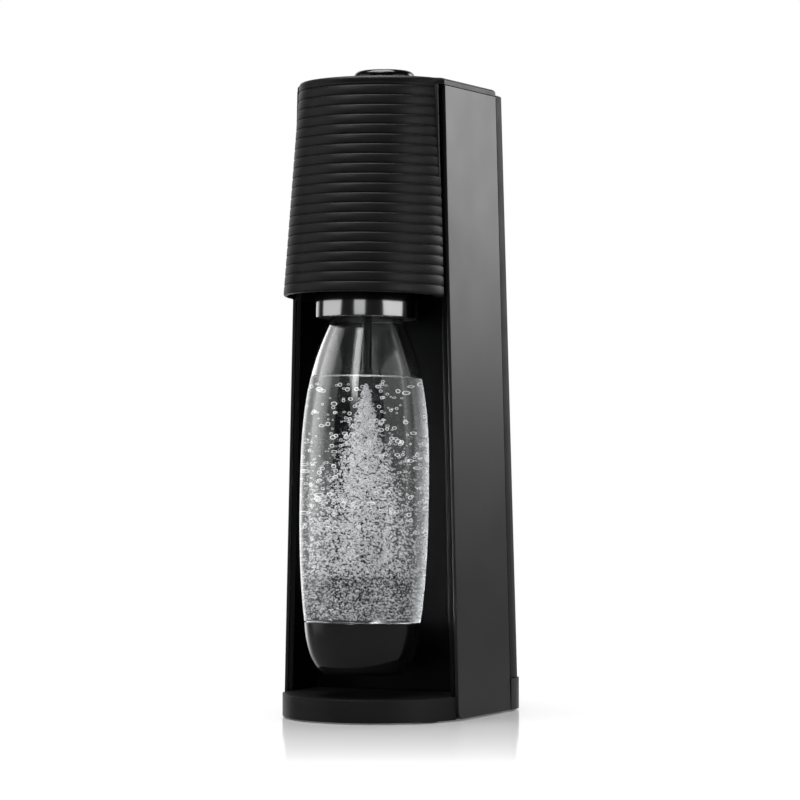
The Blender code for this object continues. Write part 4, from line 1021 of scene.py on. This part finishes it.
inside += [(r, h) for r, h in shoulder_curve(WALL + 0.0004)[:-1][::-1] if r > NECK_BORE]
inside += [(bottle_r(h) - WALL, h) for h in body_heights[::-1]]
inside += [(r - WALL, h + WALL) for r, h in foot_curve[-2::-1]]
inside += [(foot_curve[0][0] - 0.006, 0.0054), (0, 0.0054)]
bottle = hung("bottle_shell", outside + inside, 128, "bottle", "clear_bottle", "bottle_body", angle=50)

# %% [markdown]
# The glossy cup under the bottle is a separate cap with a soft foot. It grips the bottle by a thin lining.

# %% Turn the cup
cup_out = []
for i in range(19):
    s = i / 18
    h = CUP_HEIGHT * s
    share = np.interp(h / CUP_HEIGHT, [p[1] for p in foot_points], [p[0] for p in foot_points])
    smooth = 0.665 + 0.335 * (1 - (1 - s) ** 2.1) ** 0.62
    cup_out.append((cup_rim * (0.35 * share + 0.65 * min(smooth, 1.0)) if 0 < s < 1 else cup_rim * share, h))
cup_in = [(max(r - 0.002, 0.004), max(h, 0.002)) for r, h in cup_out if h >= 0.002][::-1]
cup_profile = [(0, 0.0008), (cup_rim * 0.5, 0.0006), (cup_rim * 0.60, 0.0)] + cup_out[:-1]
cup_profile += [(cup_rim, CUP_HEIGHT - 0.0004), (cup_rim - 0.0004, CUP_HEIGHT),
                (cup_rim - 0.0017, CUP_HEIGHT)]
cup_profile += cup_in[1:] + [(0, 0.002)]
cup = hung("bottle_foot_cup", cup_profile, 128, "bottle", "gloss_black", "bottle_base_cup", angle=40)

# %% [markdown]
# ## Water
# Water fills the bottle to a little under the nozzle's tip. Its side reaches a hair into the bottle's wall,
# so that no film of air mirrors the light between them, and its top curls up where it wets the plastic.

# %% Fill the bottle
WATER_TOP = 0.1985
wet = 0.0003
water_heights = [h for h in body_heights if h < WATER_TOP - 0.002]
water_profile = [(0, 0.0056), (foot_curve[0][0] - 0.006, 0.0056)]
water_profile += [(r - WALL + wet, h + WALL) for r, h in foot_curve[:-1]]
water_profile += [(bottle_r(h) - WALL + wet, h) for h in water_heights]
edge_r = bottle_r(WATER_TOP) - WALL + wet
still_top = WATER_TOP - 0.0016
water_profile += [(edge_r, WATER_TOP), (edge_r - 0.0006, WATER_TOP - 0.0008),
                  (edge_r - 0.002, WATER_TOP - 0.0013), (edge_r - 0.006, still_top), (0.012, still_top),
                  (0, still_top)]
water = hung("water", water_profile, 128, "bottle", "clear_bottle", angle=60)
water.data.materials[0] = finishes["still_water"]

# %% [markdown]
# ## Bubbles
# Gas leaves the nozzle as a white plume, scatters as clear bubbles and fills the lower half with fizz. One
# small sphere is modelled, and each cloud repeats it at its own places and sizes. Hundreds of copies need a
# light mesh, so a sphere has only a few dozen faces. The seeds are fixed, so every run gives the same cloud.


# %% One bubble, many copies
def little_sphere(round_enough):
    """Points and triangles of a small sphere: 20 triangles, or 64 where a single bubble can be seen."""
    clear_selection()
    if round_enough:
        bpy.ops.mesh.primitive_uv_sphere_add(segments=8, ring_count=5, radius=1)
    else:
        bpy.ops.mesh.primitive_ico_sphere_add(subdivisions=1, radius=1)
    seed = newest("bubble_seed")
    points = np.array([v.co for v in seed.data.vertices])
    seed.data.calc_loop_triangles()
    faces = np.array([t.vertices[:] for t in seed.data.loop_triangles])
    bpy.data.objects.remove(seed)
    return points, faces


def cloud(name, round_enough, places, sizes, stretch, finish):
    """One mesh of many spheres, leaning with the bottle."""
    points, faces = little_sphere(round_enough)
    scale = np.stack([sizes, sizes, sizes * stretch], axis=1)
    verts = (places[:, None, :] + points[None] * scale[:, None, :]).reshape(-1, 3)
    tris = (faces[None] + (np.arange(len(places)) * len(points))[:, None, None]).reshape(-1, 3)
    mesh = bpy.data.meshes.new(name)
    mesh.from_pydata(verts.tolist(), [], tris.tolist())
    piece = bpy.data.objects.new(name, mesh)
    bpy.context.scene.collection.objects.link(piece)
    hang(piece)
    settle(piece, "bottle", "clear_bottle", angle=80)
    piece.data.materials[0] = finishes[finish]


def scatter(chance, count, low, high, edge, thin=0.5):
    """Places inside the water from the low height to the high one; thin 1 is even, 0.5 thins out upwards."""
    heights = low + (high - low) * (1 - (1 - chance.random(count)) ** thin)
    reach = np.array([bottle_r(h) - WALL - edge for h in heights]) * np.sqrt(chance.random(count))
    angles = 2 * pi * chance.random(count)
    return np.stack([PIVOT.x + reach * np.cos(angles), PIVOT.y + reach * np.sin(angles),
                     PIVOT.z - PIVOT_DROP + heights], axis=1)


# %% [markdown]
# Three clouds: the plume under the nozzle, rings in the upper water, and dense fizz that thickens downwards.

# %% Fill the water with gas
chance = np.random.default_rng(7)
TIP = LENGTH - 0.062
PLUME_GAP, PLUME_LENGTH, PLUME_SPREAD = 0.007, 0.127, 0.031

count = 7500
depth = chance.random(count) ** 0.72
plume_h = TIP - PLUME_GAP - PLUME_LENGTH * depth
plume_r = (0.0005 + PLUME_SPREAD * depth) * np.sqrt(chance.random(count)) * (0.7 + 0.6 * chance.random(count))
plume_a = 2 * pi * chance.random(count)
plume = np.stack([PIVOT.x + plume_r * np.cos(plume_a), PIVOT.y + plume_r * np.sin(plume_a),
                  PIVOT.z - PIVOT_DROP + plume_h], axis=1)
cloud("gas_plume", False, plume, 0.00026 + 0.0005 * chance.random(count) ** 2, 1.0, "jet_skin")

count = 460
rings = scatter(chance, count, 0.095, WATER_TOP - 0.004, 0.0025, thin=0.9)
cloud("rising_bubbles", True, rings, 0.0006 + 0.0011 * chance.random(count) ** 1.6, 0.85, "large_bubble_skin")

count = 9800
fizz = scatter(chance, count, CUP_HEIGHT + 0.002, 0.162, 0.0008)
cloud("fine_fizz", False, fizz, 0.00022 + 0.00050 * chance.random(count) ** 3, 0.9, "fizz_skin")

# %% [markdown]
# ## Bottle holder
# The holder's collar grips the bottle's shoulder, and a polished steel band wraps it. The nozzle hangs from
# its middle. All of them tilt forward with the bottle.

# %% Turn the holder, band and nozzle
SOCKET = 0.0008
collar_r = 0.0326
collar_foot = SHOULDER_TOP - GAP
collar_top = collar_foot + 0.0202
tube_r = NECK_R + SOCKET + 0.0032
socket_top = LENGTH + 0.0026 + GAP
socket = [(NECK_R + (bottle_r(SHOULDER_TOP) - NECK_R) * r + SOCKET, SHOULDER_TOP + 0.0125 * h)
          for r, h in ((1.0, 0.0), (0.50, 0.42), (0.14, 0.74), (0.0, 1.0))]
socket[0] = (socket[0][0] + SOCKET, collar_foot)
collar_profile = [(collar_r - 0.0006, collar_foot), (collar_r, collar_foot + 0.0006),
                  (collar_r, collar_top - 0.001), (collar_r - 0.001, collar_top),
                  (tube_r + 0.001, collar_top), (tube_r, collar_top + 0.001), (tube_r, socket_top),
                  (socket[-1][0], socket_top), *socket[::-1]]
hung("holder_collar", collar_profile, 96, "holder", "collar_plastic", "bottle_collar", ring=True)

band_r = collar_r + GAP
band_out = band_r + 0.0018
band_top = collar_foot + 0.0198
band_profile = [(band_r, collar_foot + 0.0002), (band_r + 0.0004, collar_foot),
                (band_out - 0.0005, collar_foot), (band_out - 0.0001, collar_foot + 0.0002),
                (band_out, collar_foot + 0.0006),
                (band_out, band_top - 0.0006), (band_out - 0.0002, band_top - 0.0002),
                (band_out - 0.0006, band_top), (band_r, band_top)]
hung("steel_band", band_profile, 192, "holder", "trim_steel", "collar_trim_ring", ring=True)

nozzle_low = TIP + 0.0006
nozzle_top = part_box("nozzle_tube")[1].z - PIVOT.z + PIVOT_DROP
nozzle_r = 0.0033
nozzle_bore = 0.0010
nozzle_profile = [(nozzle_bore, nozzle_low), (nozzle_r - 0.0004, nozzle_low), (nozzle_r, nozzle_low + 0.0004),
                  (nozzle_r, nozzle_top - 0.0004), (nozzle_bore, nozzle_top - 0.0004)]
nozzle = hung("gas_nozzle", nozzle_profile, 48, "holder", "black_plastic", "nozzle_tube", ring=True)

for piece in (bottle, water, cup):
    clear_pieces.objects.link(piece)
for piece in (head_shell, base, nozzle):
    edged_pieces.objects.link(piece)
